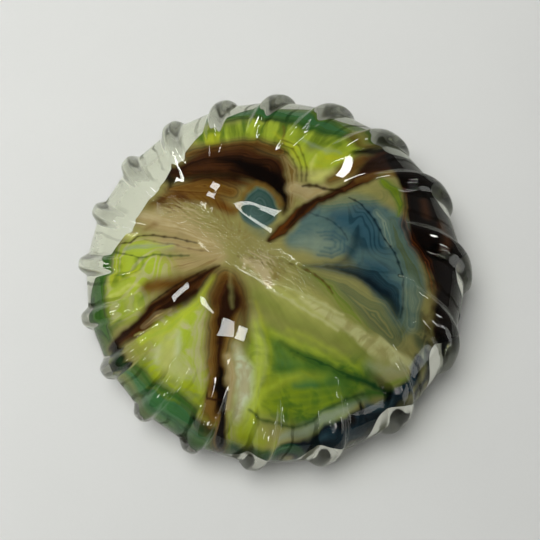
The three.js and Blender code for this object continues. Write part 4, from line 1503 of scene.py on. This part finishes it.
# The lamps over the weight: middle, width and depth in metres, turn in degrees and share of the full light
CEILING_LAMPS = (
    (-0.22, 0.175, 0.20, 0.085, 20, 0.6),
    (-0.20, 0.05, 0.19, 0.11, 12, 0.75),
    (-0.23, 0.60, 0.26, 0.07, -22, 0.7),
    (-0.15, 0.36, 0.06, 0.05, 30, 0.7),
    (0.745, 0.37, 0.085, 0.17, 0, 0.6),
    (0.765, 0.59, 0.04, 0.28, -4, 0.6),
    (0.83, 1.01, 0.07, 0.17, 0, 0.75),
    (0.74, 1.76, 0.24, 0.15, -25, 0.8),
)
# The row of lamps round the room, which the ribs mirror: direction in degrees and distance in metres
ROOM_LAMPS = (
    (6, 2.1), (35, 2.5), (62, 2.0), (98, 2.4), (124, 2.1), (158, 2.6),
    (186, 2.1), (213, 2.3), (236, 2.0), (268, 2.5), (301, 2.1), (334, 2.4),
)
# Their width and depth in metres and their share of the full light
ROOM_LAMP = (0.70, 0.12, 1.2)


def set_ceiling(scene, stage):
    """Small bright lamps that are only mirrored and seen through the glass."""
    lamps = list(CEILING_LAMPS)
    width, depth, part = ROOM_LAMP
    for turn, away in ROOM_LAMPS:
        way = math.radians(turn)
        lamps.append((away * math.cos(way), away * math.sin(way), width, depth, turn, part))
    for i, (x, y, width, depth, turn, part) in enumerate(lamps):
        power = stage.ceiling_light * part * math.pi * width * depth
        place = (x, y, stage.ceiling)
        lamp = add_lamp(scene, f"ceiling_lamp_{i + 1}", place, width, depth, math.radians(turn), power)
        lamp.visible_diffuse = False


def set_side_card(scene, stage):
    """A pale card that stands low beside the weight and brightens the clear glass at its lip."""
    place = Vector((0.05, -1.5, 0.42))
    width, height = 0.9, 0.5
    power = stage.side_light * math.pi * width * height
    lamp = add_lamp(scene, "side_card", place, width, height, 0, power)
    lamp.rotation_euler = place.to_track_quat("Z", "Y").to_euler()
    lamp.visible_diffuse = False


def set_camera(scene, stage):
    """The camera, in its direction from the point that it aims at."""
    toward = Vector(
        (
            math.sin(stage.azimuth) * math.cos(stage.elevation),
            -math.cos(stage.azimuth) * math.cos(stage.elevation),
            math.sin(stage.elevation),
        )
    )
    right = Vector((math.cos(stage.azimuth), math.sin(stage.azimuth), 0))
    up = toward.cross(right)
    target = Vector((0, 0, scene.shell_sizes.belly_height)) + right * stage.aim_right + up * stage.aim_up
    lens = bpy.data.cameras.new("camera")
    lens.lens = stage.lens
    lens.clip_start = 0.01
    camera = bpy.data.objects.new("camera", lens)
    camera.location = target + toward * stage.distance
    camera.rotation_euler = toward.to_track_quat("Z", "Y").to_euler()
    scene.collection.objects.link(camera)
    scene.camera = camera


class SHELL_OT_stage(bpy.types.Operator):
    """Set the table, the lamps and the camera"""

    bl_idname = "shell.stage"
    bl_label = "Stage"

    def execute(self, context):
        stage = context.scene.shell_stage
        set_table(stage)
        set_world(context.scene)
        set_key(context.scene, stage)
        set_ceiling(context.scene, stage)
        set_side_card(context.scene, stage)
        set_camera(context.scene, stage)
        context.scene.cycles.glossy_bounces = 12
        context.scene.cycles.caustics_refractive = False
        context.scene.cycles.caustics_reflective = False
        context.scene.view_settings.view_transform = "Standard"
        return {"FINISHED"}


# The add-on


class SHELL_PT_panel(bpy.types.Panel):
    """Lists the steps that build the weight"""

    bl_label = "Shell weight"
    bl_idname = "SHELL_PT_panel"
    bl_space_type = "VIEW_3D"
    bl_region_type = "UI"
    bl_category = "Shell weight"

    def draw(self, context):
        for step in STEPS:
            self.layout.operator(step.bl_idname)


STEPS = (SHELL_OT_stage, SHELL_OT_core, SHELL_OT_skins, SHELL_OT_casing)
GROUPS = {"shell_sizes": ShellSizes, "shell_colours": GlassColours, "shell_stage": StageSettings}


def register():
    for group in GROUPS.values():
        bpy.utils.register_class(group)
    for step in (*STEPS, SHELL_PT_panel):
        bpy.utils.register_class(step)
    for name, group in GROUPS.items():
        setattr(bpy.types.Scene, name, PointerProperty(type=group))


def unregister():
    for name in GROUPS:
        delattr(bpy.types.Scene, name)
    for step in (SHELL_PT_panel, *reversed(STEPS)):
        bpy.utils.unregister_class(step)
    for group in reversed(GROUPS.values()):
        bpy.utils.unregister_class(group)


def main():
    register()
    bpy.ops.shell.stage()
    bpy.ops.shell.core()
    bpy.ops.shell.skins()
    bpy.ops.shell.casing()


if __name__ == "__main__":
    main()
